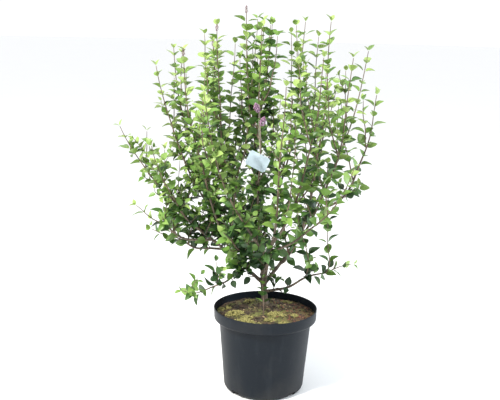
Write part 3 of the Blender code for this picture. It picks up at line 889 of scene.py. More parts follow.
@dataclass
class Compost:
    """The compost's surface with its lumps, and the bits that lie on it."""

    sizes: PotSizes = field(default_factory=PotSizes)
    sides: int = 144
    rings: int = 46
    seed: int = 7
    gap: float = 0.0005  # to the wall, and the radius of the innermost ring
    edge_gap: float = 0.0018
    edge_drop: float = 0.004  # the wall's part stops so far below the surface's edge
    reliefs: tuple[Relief, ...] = (
        Relief(0.0028, 34.0, 0.3, 0.7, 2.1, 4),
        Relief(0.0011, 190.0, 5.1, 0.8, 2.0, 3),
    )
    chips: tuple[Chips, ...] = (
        Chips(Crumb("chip_dark", (0.012, 0.008, 0.006), (0.060, 0.036, 0.020)), 620, 0.0046),
        Chips(Crumb("chip_red", (0.085, 0.028, 0.018), (0.260, 0.105, 0.060)), 420, 0.0042, 0.09),
        Chips(Crumb("chip_tan", (0.220, 0.140, 0.075), (0.520, 0.380, 0.220)), 150, 0.0040, 0.02),
    )
    strewn: float = 0.97  # share of the surface's radius that chips reach
    gather: float = 9.0  # how much more likely a chip is left out, for each metre from its heart
    moss: Crumb = Crumb("moss_tuft", (0.085, 0.092, 0.024), (0.440, 0.385, 0.140))
    cushions: tuple[tuple[float, float, float, int], ...] = (  # middle, radius and tufts of each
        (-0.062, -0.093, 0.026, 420),
        (-0.028, -0.108, 0.018, 260),
        (-0.083, -0.020, 0.019, 240),
        (-0.050, -0.055, 0.014, 120),
        (-0.108, 0.022, 0.012, 80),
        (0.030, -0.030, 0.018, 230),
        (0.012, -0.070, 0.012, 90),
        (0.050, -0.092, 0.013, 110),
        (0.078, -0.030, 0.009, 50),
        (-0.040, 0.072, 0.014, 90),
        (0.060, 0.080, 0.012, 70),
    )
    cushion_rim: Pair = (0.85, 1.2)  # how far a cushion's edge strays
    cushion_stretch: float = 1.25
    cushion_edge: float = 0.975  # share of the surface's radius that tufts reach
    cushion_height: float = 0.30  # of its radius
    tuft: float = 0.0030
    tuft_lift: Pair = (0.5, 1.0)
    flat_bit: BitShape = BitShape((0.2, 0.45))
    round_bit: BitShape = BitShape((0.6, 1.1))

    def edge(self) -> float:
        """Radius where the surface meets the pot."""
        return self.sizes.rim - self.sizes.wall - self.edge_gap

    def plain_height(self, x: float, y: float) -> float:
        """Height of the even surface, as in the solids.

        Args:
            x: The place, to the right.
            y: The place, to the back.

        Returns:
            The height.
        """
        foot = np.array(self.sizes.foot)
        out = np.array([x, y]) - foot
        distance = float(np.linalg.norm(out))
        if distance <= self.sizes.mound_radius:
            return self.sizes.soil_mound
        way = out / distance
        along = float(foot.dot(way))
        to_wall = -along + math.sqrt(along**2 - float(foot.dot(foot)) + self.edge() ** 2)
        share = (distance - self.sizes.mound_radius) / (to_wall - self.sizes.mound_radius)
        drop = self.sizes.soil_edge - self.sizes.soil_mound
        return self.sizes.soil_mound + drop * min(share, 1.0)

    def height(self, x: float, y: float) -> float:
        """Height with lumps and crumbs.

        Args:
            x: The place, to the right.
            y: The place, to the back.

        Returns:
            The height.
        """
        total = self.plain_height(x, y)
        for relief in self.reliefs:
            total += relief.at(x, y)
        return total

    def build(self) -> None:
        """Makes and dresses the compost and what lies on it."""
        size = self.sizes
        angles = np.linspace(0, 2 * math.pi, self.sides, endpoint=False)
        rows = []
        for radius, height in size.profile(size.wall + self.gap)[:-1]:
            if height < size.soil_edge - self.edge_drop:
                rows.append([(radius * math.cos(a), radius * math.sin(a), height) for a in angles])
        for k in range(self.rings + 1):
            radius = self.edge() * (1 - k / self.rings) + self.gap * k / self.rings
            ring = [(radius * math.cos(a), radius * math.sin(a)) for a in angles]
            rows.append([(x, y, self.height(x, y)) for x, y in ring])
        pool = Pool()
        last = (len(rows) - 1) * self.sides
        ends = [tuple(last + j for j in range(self.sides)), tuple(range(self.sides))[::-1]]
        pool.add(np.array(rows).reshape(-1, 3), ring_faces(len(rows), self.sides) + ends)
        pool.build("compost_surface", CompostEarth().make(), "compost", ["compost"])
        self.scatter()

    def scatter(self) -> None:
        """Strews the chips of bark and peat, then lays the cushions of moss."""
        rng = Random(self.seed)
        for chips in self.chips:
            pool = Pool()
            for _ in range(chips.count):
                radius = self.edge() * math.sqrt(rng.random()) * self.strewn
                angle = rng.uniform(0, 2 * math.pi)
                place = (radius * math.cos(angle), radius * math.sin(angle))
                if chips.heart and rng.random() < abs(place[0] - chips.heart) * self.gather:
                    continue
                self.bit(pool, rng, place, chips.size, self.flat_bit)
            pool.build(chips.kind.name, chips.kind.make(), "compost", [], smooth=False)
        pool = Pool()
        for cushion in self.cushions:
            self.cushion(pool, rng, *cushion)
        pool.build(self.moss.name, self.moss.make(), "compost", [], smooth=False)

    def cushion(
        self, pool: Pool, rng: Random, x: float, y: float, radius: float, count: int
    ) -> None:
        """Tufts of moss in one low dome.

        Args:
            pool: Where they go.
            rng: The seeded numbers.
            x: The dome's middle, to the right.
            y: Its middle, to the back.
            radius: Its radius.
            count: How many tufts.
        """
        for _ in range(count):
            out = radius * math.sqrt(rng.random()) * rng.uniform(*self.cushion_rim)
            angle = rng.uniform(0, 2 * math.pi)
            across = out * self.cushion_stretch * math.cos(angle)
            place = (x + across, y + out * math.sin(angle))
            if math.hypot(*place) < self.edge() * self.cushion_edge:
                dome = self.cushion_height * radius * max(0.0, 1.0 - (out / radius) ** 2)
                lift = dome * rng.uniform(*self.tuft_lift)
                self.bit(pool, rng, place, self.tuft, self.round_bit, lift)

    def bit(
        self,
        pool: Pool,
        rng: Random,
        place: Pair,
        size: float,
        shape: BitShape,
        lift: float = 0.0,
    ) -> None:
        """One irregular six-cornered bit, lying on the surface.

        Args:
            pool: Where it goes.
            rng: The seeded numbers.
            place: Its place on the surface.
            size: Its usual half length.
            shape: How irregular it is.
            lift: How far it stands above the surface.
        """
        height = self.height(*place) + lift
        long = size * rng.uniform(*shape.long)
        wide = long * rng.uniform(*shape.wide)
        thick = long * rng.uniform(*shape.thick)
        turn = Matrix.Rotation(rng.uniform(0, math.pi), 3, "Z")
        tilt = Matrix.Rotation(rng.uniform(-shape.tilt, shape.tilt), 3, "X")
        around = [(long, 0, 0), (0, wide, 0), (-long, 0, 0), (0, -wide, 0)]
        corners = around + [(0, 0, thick), (0, 0, -thick)]
        centre = Vector((*place, height + thick * shape.raised))
        points = [centre + turn @ tilt @ Vector(c) * rng.uniform(*shape.rough) for c in corners]
        pool.add(np.array([tuple(p) for p in points]), BIT_FACES)


@dataclass(frozen=True)
class Limb:
    """One bough and the foliage that it carries, as a single curve from fork to tip."""

    name: str
    parent: str
    at: float  # share of the parent bough's length where this one leaves
    azimuth: float  # of the tip, seen from the pot's axis
    reach: float  # of the tip from the pot's axis
    top: float  # height of the tip
    rise: float  # degrees above level at the fork
    finish: float  # degrees above level at the tip
    wood: float  # share of the curve that is bare bough
    radius: float  # at the fork
    shoots: int  # side shoots wanted
    side: float  # their length


LIMBS = (
    Limb("leader", "trunk", 1.00, 180, 0.069, 1.022, 86, 88, 0.33, 0.0066, 3, 0.24),
    Limb("leader_front", "leader", 0.72, 250, 0.086, 0.973, 52, 86, 0.12, 0.0042, 2, 0.20),
    Limb("left_outer", "trunk", 0.74, 184, 0.389, 0.716, 42, 66, 0.42, 0.0056, 2, 0.15),
    Limb("left_limb", "left_outer", 0.78, 187, 0.347, 0.512, -8, 40, 0.34, 0.0036, 2, 0.10),
    Limb("left_lower", "left_outer", 0.61, 172, 0.318, 0.428, -10, 18, 0.30, 0.0034, 2, 0.08),
    Limb("low_left", "left_outer", 0.34, 193, 0.228, 0.285, -52, 24, 0.30, 0.0034, 4, 0.06),
    Limb("low_front_left", "left_outer", 0.92, 203, 0.321, 0.681, 38, 72, 0.14, 0.0036, 2, 0.15),
    Limb("left_front", "left_outer", 0.48, 202, 0.239, 0.915, 62, 86, 0.22, 0.0042, 2, 0.26),
    Limb("left", "leader", 0.08, 169, 0.310, 0.867, 44, 80, 0.36, 0.0055, 2, 0.24),
    Limb("left_back", "left", 0.72, 154, 0.295, 0.920, 52, 84, 0.18, 0.0040, 2, 0.26),
    Limb("left_inner", "left", 0.40, 194, 0.146, 0.976, 66, 87, 0.18, 0.0042, 2, 0.27),
    Limb("back_left", "leader", 0.28, 129, 0.258, 0.930, 48, 84, 0.24, 0.0044, 2, 0.28),
    Limb("front", "trunk", 0.64, 276, 0.268, 0.846, 46, 82, 0.36, 0.0054, 2, 0.24),
    Limb("front_left", "front", 0.58, 236, 0.288, 0.829, 44, 82, 0.18, 0.0040, 2, 0.24),
    Limb("front_right", "front", 0.86, 301, 0.227, 0.910, 50, 84, 0.16, 0.0040, 2, 0.26),
    Limb("low_front_right", "front", 0.72, 317, 0.276, 0.651, 24, 74, 0.22, 0.0036, 2, 0.16),
    Limb("right", "trunk", 0.70, 10, 0.255, 0.918, 54, 82, 0.37, 0.0056, 2, 0.24),
    Limb("right_outer", "right", 0.96, 354, 0.270, 0.811, 10, 84, 0.34, 0.0038, 2, 0.18),
    Limb("right_inner", "right", 0.68, 359, 0.147, 0.992, 70, 86, 0.14, 0.0042, 2, 0.30),
    Limb("right_front", "right", 0.50, 331, 0.224, 0.907, 44, 84, 0.20, 0.0040, 2, 0.24),
    Limb("back_right", "leader", 0.42, 61, 0.188, 0.988, 54, 85, 0.20, 0.0044, 3, 0.30),
    Limb("back", "trunk", 0.38, 97, 0.296, 0.882, 46, 82, 0.34, 0.0054, 2, 0.26),
    Limb("back_outer", "back", 0.80, 52, 0.308, 0.799, 34, 80, 0.22, 0.0040, 2, 0.22),
    Limb("low_back", "back", 0.54, 131, 0.326, 0.612, 22, 70, 0.26, 0.0036, 2, 0.16),
    Limb("low_right", "trunk", 0.44, 352, 0.229, 0.364, 14, 16, 0.42, 0.0042, 2, 0.20),
    Limb("inner_left", "leader", 0.16, 216, 0.143, 0.456, 30, 50, 0.26, 0.0036, 2, 0.09),
    Limb("inner_right", "right", 0.30, 316, 0.114, 0.452, 20, 50, 0.24, 0.0036, 2, 0.09),
)


class Order(Enum):
    """How far a shoot stands from the trunk in branching."""

    STEM = 0
    SIDE = 1
    TWIG = 2


@dataclass
class Shoot:
    """A leafy shoot."""

    path: Array
    radii: Pair  # at its root and at its tip
    order: Order
    bare: float  # length without leaves at its root
    inner: float = 0.0  # from 0 on the outside of the crown to 1 deep inside
    chance: float = 0.0  # of a finer twig in an axil

    def taper(self) -> Array:
        """Its radius at each point of its path."""
        return np.linspace(*self.radii, len(self.path))


@dataclass
class Growth:
    """What one limb grew."""

    limb: Limb
    bough: Array
    shoots: list[Array]


@dataclass
class Skeleton:
    """The growth rule of the boughs, stems and side shoots, as in the solids."""

    gap: float = 0.0003  # between a bough's end and its stem
    steps: int = 40
    handle: float = 0.36  # a curve's handles, as a share of its reach
    stem_radius: float = 0.0030
    string_radius: float = 0.0009
    trunk_foot: Point = (0.000, 0.046, 0.2223)
    trunk_top: Point = (-0.008, 0.036, 0.304)
    shoot_lengths: Pair = (0.80, 1.15)
    shoot_spread: float = 0.24  # how far a shoot's tip stands out, as a share of its length
    shoot_room: Pair = (0.85, 0.97)  # share of the way up to the stem's tip
    upright: float = 60.0  # degrees from which a stem counts as upright
    shoot_angle: float = 42.0  # degrees from the stem where it leaves
    shoot_finish: float = 84.0  # degrees above level at its tip
    shoot_turn: float = 137.5  # degrees around the stem from one to the next
    shoot_stray: float = 15.0
    shoot_clearance: float = 0.017
    stem_clearance: float = 0.012
    root_part: int = 6  # points at a shoot's root that may be close to other limbs
    fork_part: int = 10  # points that may be close to its own stem
    first_shoot: float = 0.04  # share of the stem
    last_shoot: float = 0.60
    tries: int = 8
    wobble: float = 0.004
    waves: Pair = (3.0, 4.0)  # half waves along a path, across and up
    wave_start: float = 6.28  # radians at most
    seed: int = 41
    shoot_seed: int = 1000
    label_limb: str = "leader_front"
    label_tie: float = 0.790  # height where its string is tied
    label_size: Point = (0.056, 0.0012, 0.040)
    label_clearance: float = 0.012
    string_length: float = 0.150
    string_clearance: float = 0.006

    def bent(self, start: Array, leave: Array, end: Array, arrive: Array) -> Array:
        """A smooth curve.

        Args:
            start: Its first point.
            leave: Its direction there.
            end: Its last point.
            arrive: Its direction there.

        Returns:
            One row for each point.
        """
        reach = np.linalg.norm(end - start) * self.handle
        corners = (start, start + leave * reach, end - arrive * reach, end)
        t = np.linspace(0.0, 1.0, self.steps + 1)[:, None]
        weights = ((1 - t) ** 3, 3 * t * (1 - t) ** 2, 3 * t**2 * (1 - t), t**3)
        return sum(w * c for w, c in zip(weights, corners, strict=True))

    def wobbled(self, path: Array, rng: Random, size: float) -> Array:
        """Small sideways waves that vanish at both ends.

        Args:
            path: The even path.
            rng: The seeded numbers.
            size: The height of the waves.

        Returns:
            The path with its waves.
        """
        sides, ups, _ = frames_along(path)
        t = np.linspace(0.0, 1.0, len(path))
        envelope = np.sin(math.pi * t) * size
        first, second = rng.uniform(0, self.wave_start), rng.uniform(0, self.wave_start)
        across = np.sin(self.waves[0] * math.pi * t + first) * envelope
        along = np.sin(self.waves[1] * math.pi * t + second) * envelope
        return path + across[:, None] * sides + along[:, None] * ups

    def cut(self, path: Array, start: float, stop: float) -> Array:
        """A stretch of a path.

        Args:
            path: The whole path.
            start: Share of its length where the stretch begins.
            stop: Share of its length where it ends.

        Returns:
            The stretch, in even steps.
        """
        run = np.concatenate([[0.0], np.cumsum(np.linalg.norm(np.diff(path, axis=0), axis=1))])
        places = np.linspace(start, stop, self.steps + 1) * run[-1]
        return np.stack([np.interp(places, run, path[:, k]) for k in range(3)], axis=1)

    def trunk(self) -> Array:
        """The trunk's middle line."""
        return np.linspace(np.array(self.trunk_foot), np.array(self.trunk_top), self.steps + 1)

    def grow(self) -> dict[str, Growth]:
        """Every limb with its side shoots.

        Returns:
            What each limb grew, by name.
        """
        trunk = self.trunk()
        grown: dict[str, Growth] = {}
        for index, limb in enumerate(LIMBS):
            rng = Random(self.seed + index)
            parent = trunk if limb.parent == "trunk" else grown[limb.parent].bough
            start = self.cut(parent, 0.0, limb.at)[-1]
            if limb.at == 1.0:
                start = start + np.array([0, 0, self.gap])
            tip = direction(limb.azimuth, 0) * limb.reach + np.array([0, 0, limb.top])
            azimuth = math.degrees(math.atan2(*(tip - start)[[1, 0]]))
            leave, arrive = direction(azimuth, limb.rise), direction(azimuth, limb.finish)
            path = self.wobbled(self.bent(start, leave, tip, arrive), rng, self.wobble)
            share = limb.wood + self.gap / length_of(path)
            stem = self.cut(path, share, 1.0)
            grown[limb.name] = Growth(limb, self.cut(path, 0.0, limb.wood), [stem])
        top = self.string_top(grown)
        for index, growth in enumerate(grown.values()):
            self.grow_shoots(growth, index, grown, top)
        return grown

    def string_top(self, grown: dict[str, Growth]) -> Array:
        """Where the label's string ends, just in front of its stem.

        Args:
            grown: What each limb grew, by name.

        Returns:
            The upper end of the string.
        """
        stem = grown[self.label_limb].shoots[0]
        place = int(np.abs(stem[:, 2] - self.label_tie).argmin())
        return stem[place] - np.array([0.0, self.stem_radius + self.string_radius + self.gap, 0.0])

    def near_label(self, points: Array, top: Array) -> bool:
        """Whether any point comes close to the hanging label or its string.

        Args:
            points: One row for each point.
            top: The upper end of the string.

        Returns:
            True where one does.
        """
        centre = top - np.array([0.0, 0.0, self.string_length])
        half = math.hypot(self.label_size[0], self.label_size[2]) / 2 + self.label_clearance
        by_card = np.linalg.norm(points - centre, axis=1) < half
        by_string = distance_to(points, np.stack([centre, top])) < self.string_clearance
        return bool(by_card.any() or by_string.any())

    def grow_shoots(self, growth: Growth, index: int, grown: dict[str, Growth], top: Array) -> None:
        """Side shoots on one stem, kept clear of what other limbs grew and of the label.

        Args:
            growth: The limb, which gets the shoots.
            index: Its number.
            grown: What each limb grew, by name.
            top: The upper end of the label's string.
        """
        rng = Random(self.shoot_seed + self.seed + index)
        others = [g for g in grown.values() if g is not growth]
        turn = rng.uniform(0, 360)
        stem = growth.shoots[0]
        for k in range(growth.limb.shoots):
            spread = (k + rng.random()) / growth.limb.shoots
            share = self.first_shoot + (self.last_shoot - self.first_shoot) * spread
            length = growth.limb.side * rng.uniform(*self.shoot_lengths)
            if growth.limb.finish > self.upright:
                room = stem[-1][2] - stem[int(share * self.steps)][2]
                length = min(length, room * rng.uniform(*self.shoot_room))
            azimuth = turn + self.shoot_turn * k
            shoot = self.side_shoot(stem, others, top, share, length, azimuth, rng)
            if shoot is not None:
                growth.shoots.append(shoot)

    def side_shoot(
        self,
        stem: Array,
        others: list[Growth],
        top: Array,
        share: float,
        length: float,
        turn: float,
        rng: Random,
    ) -> Array | None:
        """One side shoot in the first free direction.

        Args:
            stem: The path that it grows from.
            others: What it keeps clear of.
            top: The upper end of the label's string.
            share: Share of the stem where it leaves.
            length: How far up it reaches.
            turn: The first azimuth that is tried, in degrees.
            rng: The seeded numbers.

        Returns:
            Its path, or None where all directions are taken.
        """
        place = int(share * self.steps)
        start, along = stem[place], frames_along(stem)[2][place]
        for attempt in range(self.tries):
            stray = rng.uniform(-self.shoot_stray, self.shoot_stray)
            azimuth = turn + attempt * 360.0 / self.tries + stray
            out = direction(azimuth, 0)
            cross = unit(out - along * out.dot(along))
            angle = math.radians(self.shoot_angle)
            leave = along * math.cos(angle) + cross * math.sin(angle)
            tip = start + out * length * self.shoot_spread + np.array([0, 0, length])
            path = self.bent(start, leave, tip, direction(azimuth, self.shoot_finish))
            path = self.wobbled(path, rng, self.wobble / 2)
            if self.near_label(path[1:], top):
                continue
            if distance_to(path[self.fork_part :], stem).min() < self.stem_clearance:
                continue
            if all(self.clear_of(path[self.root_part :], other) for other in others):
                return path
        return None

    def clear_of(self, points: Array, growth: Growth) -> bool:
        """Whether points keep their distance from all that a limb has grown.

        Args:
            points: One row for each point.
            growth: What the limb grew.

        Returns:
            True where all do.
        """
        if distance_to(points, growth.bough).min() < self.shoot_clearance:
            return False
        return all(distance_to(points, path).min() > self.shoot_clearance for path in growth.shoots)


@dataclass
class LeafShape:
    """A broad pointed leaf: where its cross lines lie, and how wide it is there."""

    lines: tuple[float, ...] = (0.0, 0.10, 0.28, 0.48, 0.70, 0.88, 1.0)
    widths: tuple[float, ...] = (0.0, 0.52, 0.93, 1.0, 0.76, 0.36, 0.0)
    width: float = 0.80  # of the leaf, as a share of its length
    stalk: float = 0.16  # the same
    stalk_width: float = 0.0007  # half of it, in metres
    bend: Pair = (0.16, 0.46)  # how far the tip bends down, as a share of the length
    bend_power: float = 1.8
    halves: Pair = (0.44, 0.53)  # each half's share of the width
    fold: Pair = (10.0, 38.0)  # degrees
    ripple: float = 0.02

    def faces(self) -> list[tuple[int, ...]]:
        """The blade's faces and its stalk's.

        Returns:
            Point numbers: the midrib first, then the right edge, the left and the stalk.
        """
        n = len(self.lines)
        right, left = n, n + n - 2
        made: list[tuple[int, ...]] = [(0, right, 1), (0, 1, left)]
        for k in range(1, n - 2):
            made.append((k, right + k - 1, right + k, k + 1))
            made.append((k, k + 1, left + k, left + k - 1))
        made.append((n - 2, right + n - 3, n - 1))
        made.append((n - 2, n - 1, left + n - 3))
        first = n + 2 * (n - 2)
        made.append((first, first + 1, 0))
        return made

    def points(self, root: Array, along: Array, face: Array, length: float, rng: Random) -> Array:
        """The points of one leaf.

        Args:
            root: Where its stalk leaves the shoot.
            along: Its direction.
            face: The direction that its upper side looks.
            length: Of the blade.
            rng: The seeded numbers.

        Returns:
            One row for each point.
        """
        side = np.cross(along, face)
        base = root + along * length * self.stalk
        t = np.array(self.lines)
        bend = rng.uniform(*self.bend) * t**self.bend_power
        middle = base + np.outer(t * length, along) - np.outer(bend * length, face)
        half = np.array(self.widths[1:-1]) * length * self.width * rng.uniform(*self.halves)
        fold = math.radians(rng.uniform(*self.fold))
        lift = np.outer(half * math.sin(fold), face)
        waves = np.array([rng.uniform(-self.ripple, self.ripple) for _ in half])
        ripple = np.outer(waves * length, face)
        right = middle[1:-1] + np.outer(half * math.cos(fold), side) + lift + ripple
        left = middle[1:-1] - np.outer(half * math.cos(fold), side) + lift - ripple
        stalk = np.array([root - side * self.stalk_width, root + side * self.stalk_width])
        return np.concatenate([middle, right, left, stalk])


@dataclass(frozen=True)
class WoodSizes:
    """Radii and bark relief of the wood, from the trunk to the twigs."""

    trunk: float = 0.0086
    trunk_relief: float = 0.16
    trunk_sides: int = 18
    flare: float = 0.0044
    flare_height: float = 0.013
    flare_power: float = 1.3
    sunk: float = 0.004  # the trunk's foot, below the solid's
    overlap: Pair = (0.001, 0.020)  # stretch of the leader that the trunk covers
    fork: float = 0.0058
    fork_start: float = 0.074  # height on the trunk where it narrows to the fork
    fork_length: float = 0.026
    bough_relief: float = 0.14
    bough_sides: int = 10
    bough_power: float = 1.2
    bough_end: float = 0.8  # greatest radius of its end, as a share of its root's
    collar: float = 0.22  # swelling at a bough's root
    collar_length: float = 0.012
    wave: float = 0.06  # how uneven a bough is, as a share of its radius
    wave_turn: float = 1.9
    bark_on: int = 6  # points of the stem that still carry the bough's bark
    bark_over: int = 2  # points that both have
    stem_tip: float = 0.0009
    stem_power: float = 1.1
    stem_sides: int = 6
    side: Pair = (0.0021, 0.0008)  # a side shoot's radius at its root and at its tip
    close: Pair = (0.0018, 0.0008)  # the same where the middle of the crown is close
    shoot_sides: int = 5
    twig: Pair = (0.0013, 0.0007)
    twig_relief: float = 0.08
    twig_sides: int = 4
    basal: Pair = (0.0015, 0.0009)
    head_stalk: float = 0.0008


@dataclass(frozen=True)
class TwigRule:
    """Where finer twigs grow, how they lie and what they keep clear of."""

    chance: float = 0.38
    open_chance: float = 0.05  # on the open right side
    open_start: float = 0.02  # how far left of the middle the crown starts to open
    open_length: float = 0.12
    axil: Pair = (1.45, 1.4)  # factor at a shoot's root, less so much at its tip
    top: float = 0.88  # height above which finer twigs are rare
    fade: float = 0.30
    lengths: Pair = (0.030, 0.095)
    grade: Pair = (0.75, 0.35)  # factor outside, and so much more inside
    out: float = 0.62  # how far its tip stands out, as a share of its length
    up: float = 0.66  # how far it stands up
    leave: float = 0.5  # how far it first follows the direction in which it leaves
    points: int = 9
    root_points: int = 2  # points at its root that may be close to the label
    fork_points: int = 3  # points that may be close to a bough
    margin: float = 0.02  # kept from the crown's box
    lowest: float = 0.25  # height of its tip
    clearance: float = 0.007  # from boughs
    low_zone: float = 0.47  # height below which the boughs are leafy
    low_spacing: float = 0.028  # between twigs on the boughs there
    low_tries: int = 4  # directions that are tried there
    high_spacing: float = 0.052
    open_spacing: float = 2.2  # how much wider on the open side
    first_place: int = 3  # point of the bough from which they grow
    bough_inner: float = 0.85  # how deep inside they count as growing


@dataclass(frozen=True)
class LeafRule:
    """How leaves are spaced, sized and turned, and what they keep clear of."""

    length: float = 0.0272
    pair_step: float = 0.0265
    twig_step: float = 0.017
    turn_stray: float = 0.3
    shrink: Pair = (1.12, 0.20)  # factor at a shoot's root, less so much at its tip
    spread: Pair = (0.82, 1.18)
    inner_growth: float = 0.24
    twig_size: float = 0.74  # factor on a finer twig
    last_size: float = 0.72  # factor on a last pair
    pitch: Pair = (34.0, 62.0)  # degrees from the shoot's own direction
    last_pitch: Pair = (18.0, 38.0)
    droop: Pair = (-0.12, 0.10)
    roll: float = 0.45
    tested: int = 2  # the leaf's midrib is tested from this point on
    pot_height: float = 0.236  # below it, leaves stay outside the pot's rim
    pot_reach: float = 0.145
    clearance: float = 0.004  # from boughs
    label_ahead: float = 0.01  # from here on towards the camera, leaves can hide the label
    label_slope: Pair = (0.02, 0.16)  # of the view, across and down
    label_radius: float = 0.036
    label_share: float = 0.85  # of the leaves in front of the label that are left out


@dataclass(frozen=True)
class LightRule:
    """How pale a leaf is from where it grows, with painted light high and outside and painted shade
    low and inside, and the limits between the greens.
    """

    along: float = 0.36  # weight of the place along its shoot
    outside: float = 0.20  # weight of the distance from the pot's axis: painted light outside
    high: float = 0.38  # weight of the height: painted light high up
    inner: float = 0.26  # weight of how deep inside it is: painted shade inside
    stray: float = 0.22
    last: float = 0.16  # added for a last pair
    reach: float = 0.30  # of the crown from the pot's axis
    foot: float = 0.3  # height of the crown's foot
    height: float = 0.7  # of the crown
    shade_depth: float = 0.5  # how much a limb at the pot's axis is shaded for its place
    shade_top: float = 0.75  # height of a tip below which its limb is shaded for its height
    shade_slope: float = 1.1
    limits: tuple[tuple[float, Tint], ...] = (
        (0.72, Tint.TIP),
        (0.50, Tint.YOUNG),
        (0.24, Tint.FULL),
        (0.0, Tint.DEEP),
    )

    def innerness(self, limb: Limb) -> float:
        """How shaded a limb's foliage is: low inner limbs most."""
        depth = max(0.0, 1.0 - limb.reach / self.reach) * self.shade_depth
        return min(1.0, depth + max(0.0, (self.shade_top - limb.top) * self.shade_slope))

    def choose(self, shoot: Shoot, share: float, last: bool, root: Array, rng: Random) -> Tint:
        """The green of a leaf: pale at growing tips, with painted light high and outside and
        painted shade low and inside.

        Args:
            shoot: The shoot that it grows on.
            share: Share of the shoot where it leaves.
            last: Whether it is one of the last pair.
            root: Where its stalk leaves the shoot.
            rng: The seeded numbers.

        Returns:
            The green.
        """
        outside = min(1.0, math.hypot(root[0], root[1]) / self.reach)
        height = self.high * (root[2] - self.foot) / self.height
        # painted light and shade: height and distance from the axis make a leaf paler, depth inside
        # makes it darker
        light = self.along * share + self.outside * outside + height - self.inner * shoot.inner
        light += rng.gauss(0.0, self.stray) + (self.last if last else 0.0)
        for limit, tint in self.limits:
            if light > limit:
                return tint
        return Tint.SHADE


@dataclass(frozen=True)
class Head:
    """One kind of flower head: a slim cone of small buds."""

    length: float
    radius: float
    count: int
    foot: float = 0.2  # share of the cone that is cut off at the foot
    turn: float = 2.4  # radians from one bud to the next
    reach: Pair = (0.6, 1.1)  # of a bud from the middle, as a share of the cone's radius there
    bud: Pair = (0.20, 0.32)  # a bud's half width, as a share of the radius
    stretch: float = 1.6
    cross: Point = (0.3, 0.8, 0.1)  # any direction that isn't the head's own
    margin: float = 0.003  # kept from the top of the crown's box

    def add(self, pool: Pool, foot: Array, way: Array, high: Array, rng: Random) -> None:
        """Makes one head.

        Args:
            pool: Where it goes.
            foot: Its lower end.
            way: Its direction.
            high: The upper corner of the crown's box.
            rng: The seeded numbers.
        """
        side = unit(np.cross(way, self.cross))
        up = np.cross(way, side)
        for k in range(self.count):
            t = (k + 0.5) / self.count
            taper = math.sin(math.pi * min(1.0, t * (1.0 - self.foot) + self.foot))
            reach = self.radius * taper * rng.uniform(*self.reach)
            a = k * self.turn
            around = math.cos(a) * side + math.sin(a) * up
            place = foot + way * self.length * t + reach * around
            if (place > high - self.margin).any():
                continue
            size = self.radius * rng.uniform(*self.bud)
            end = way * size * self.stretch
            bits = [side * size, up * size, -side * size, -up * size, end, -end]
            pool.add(np.array([place + b for b in bits]), BIT_FACES)


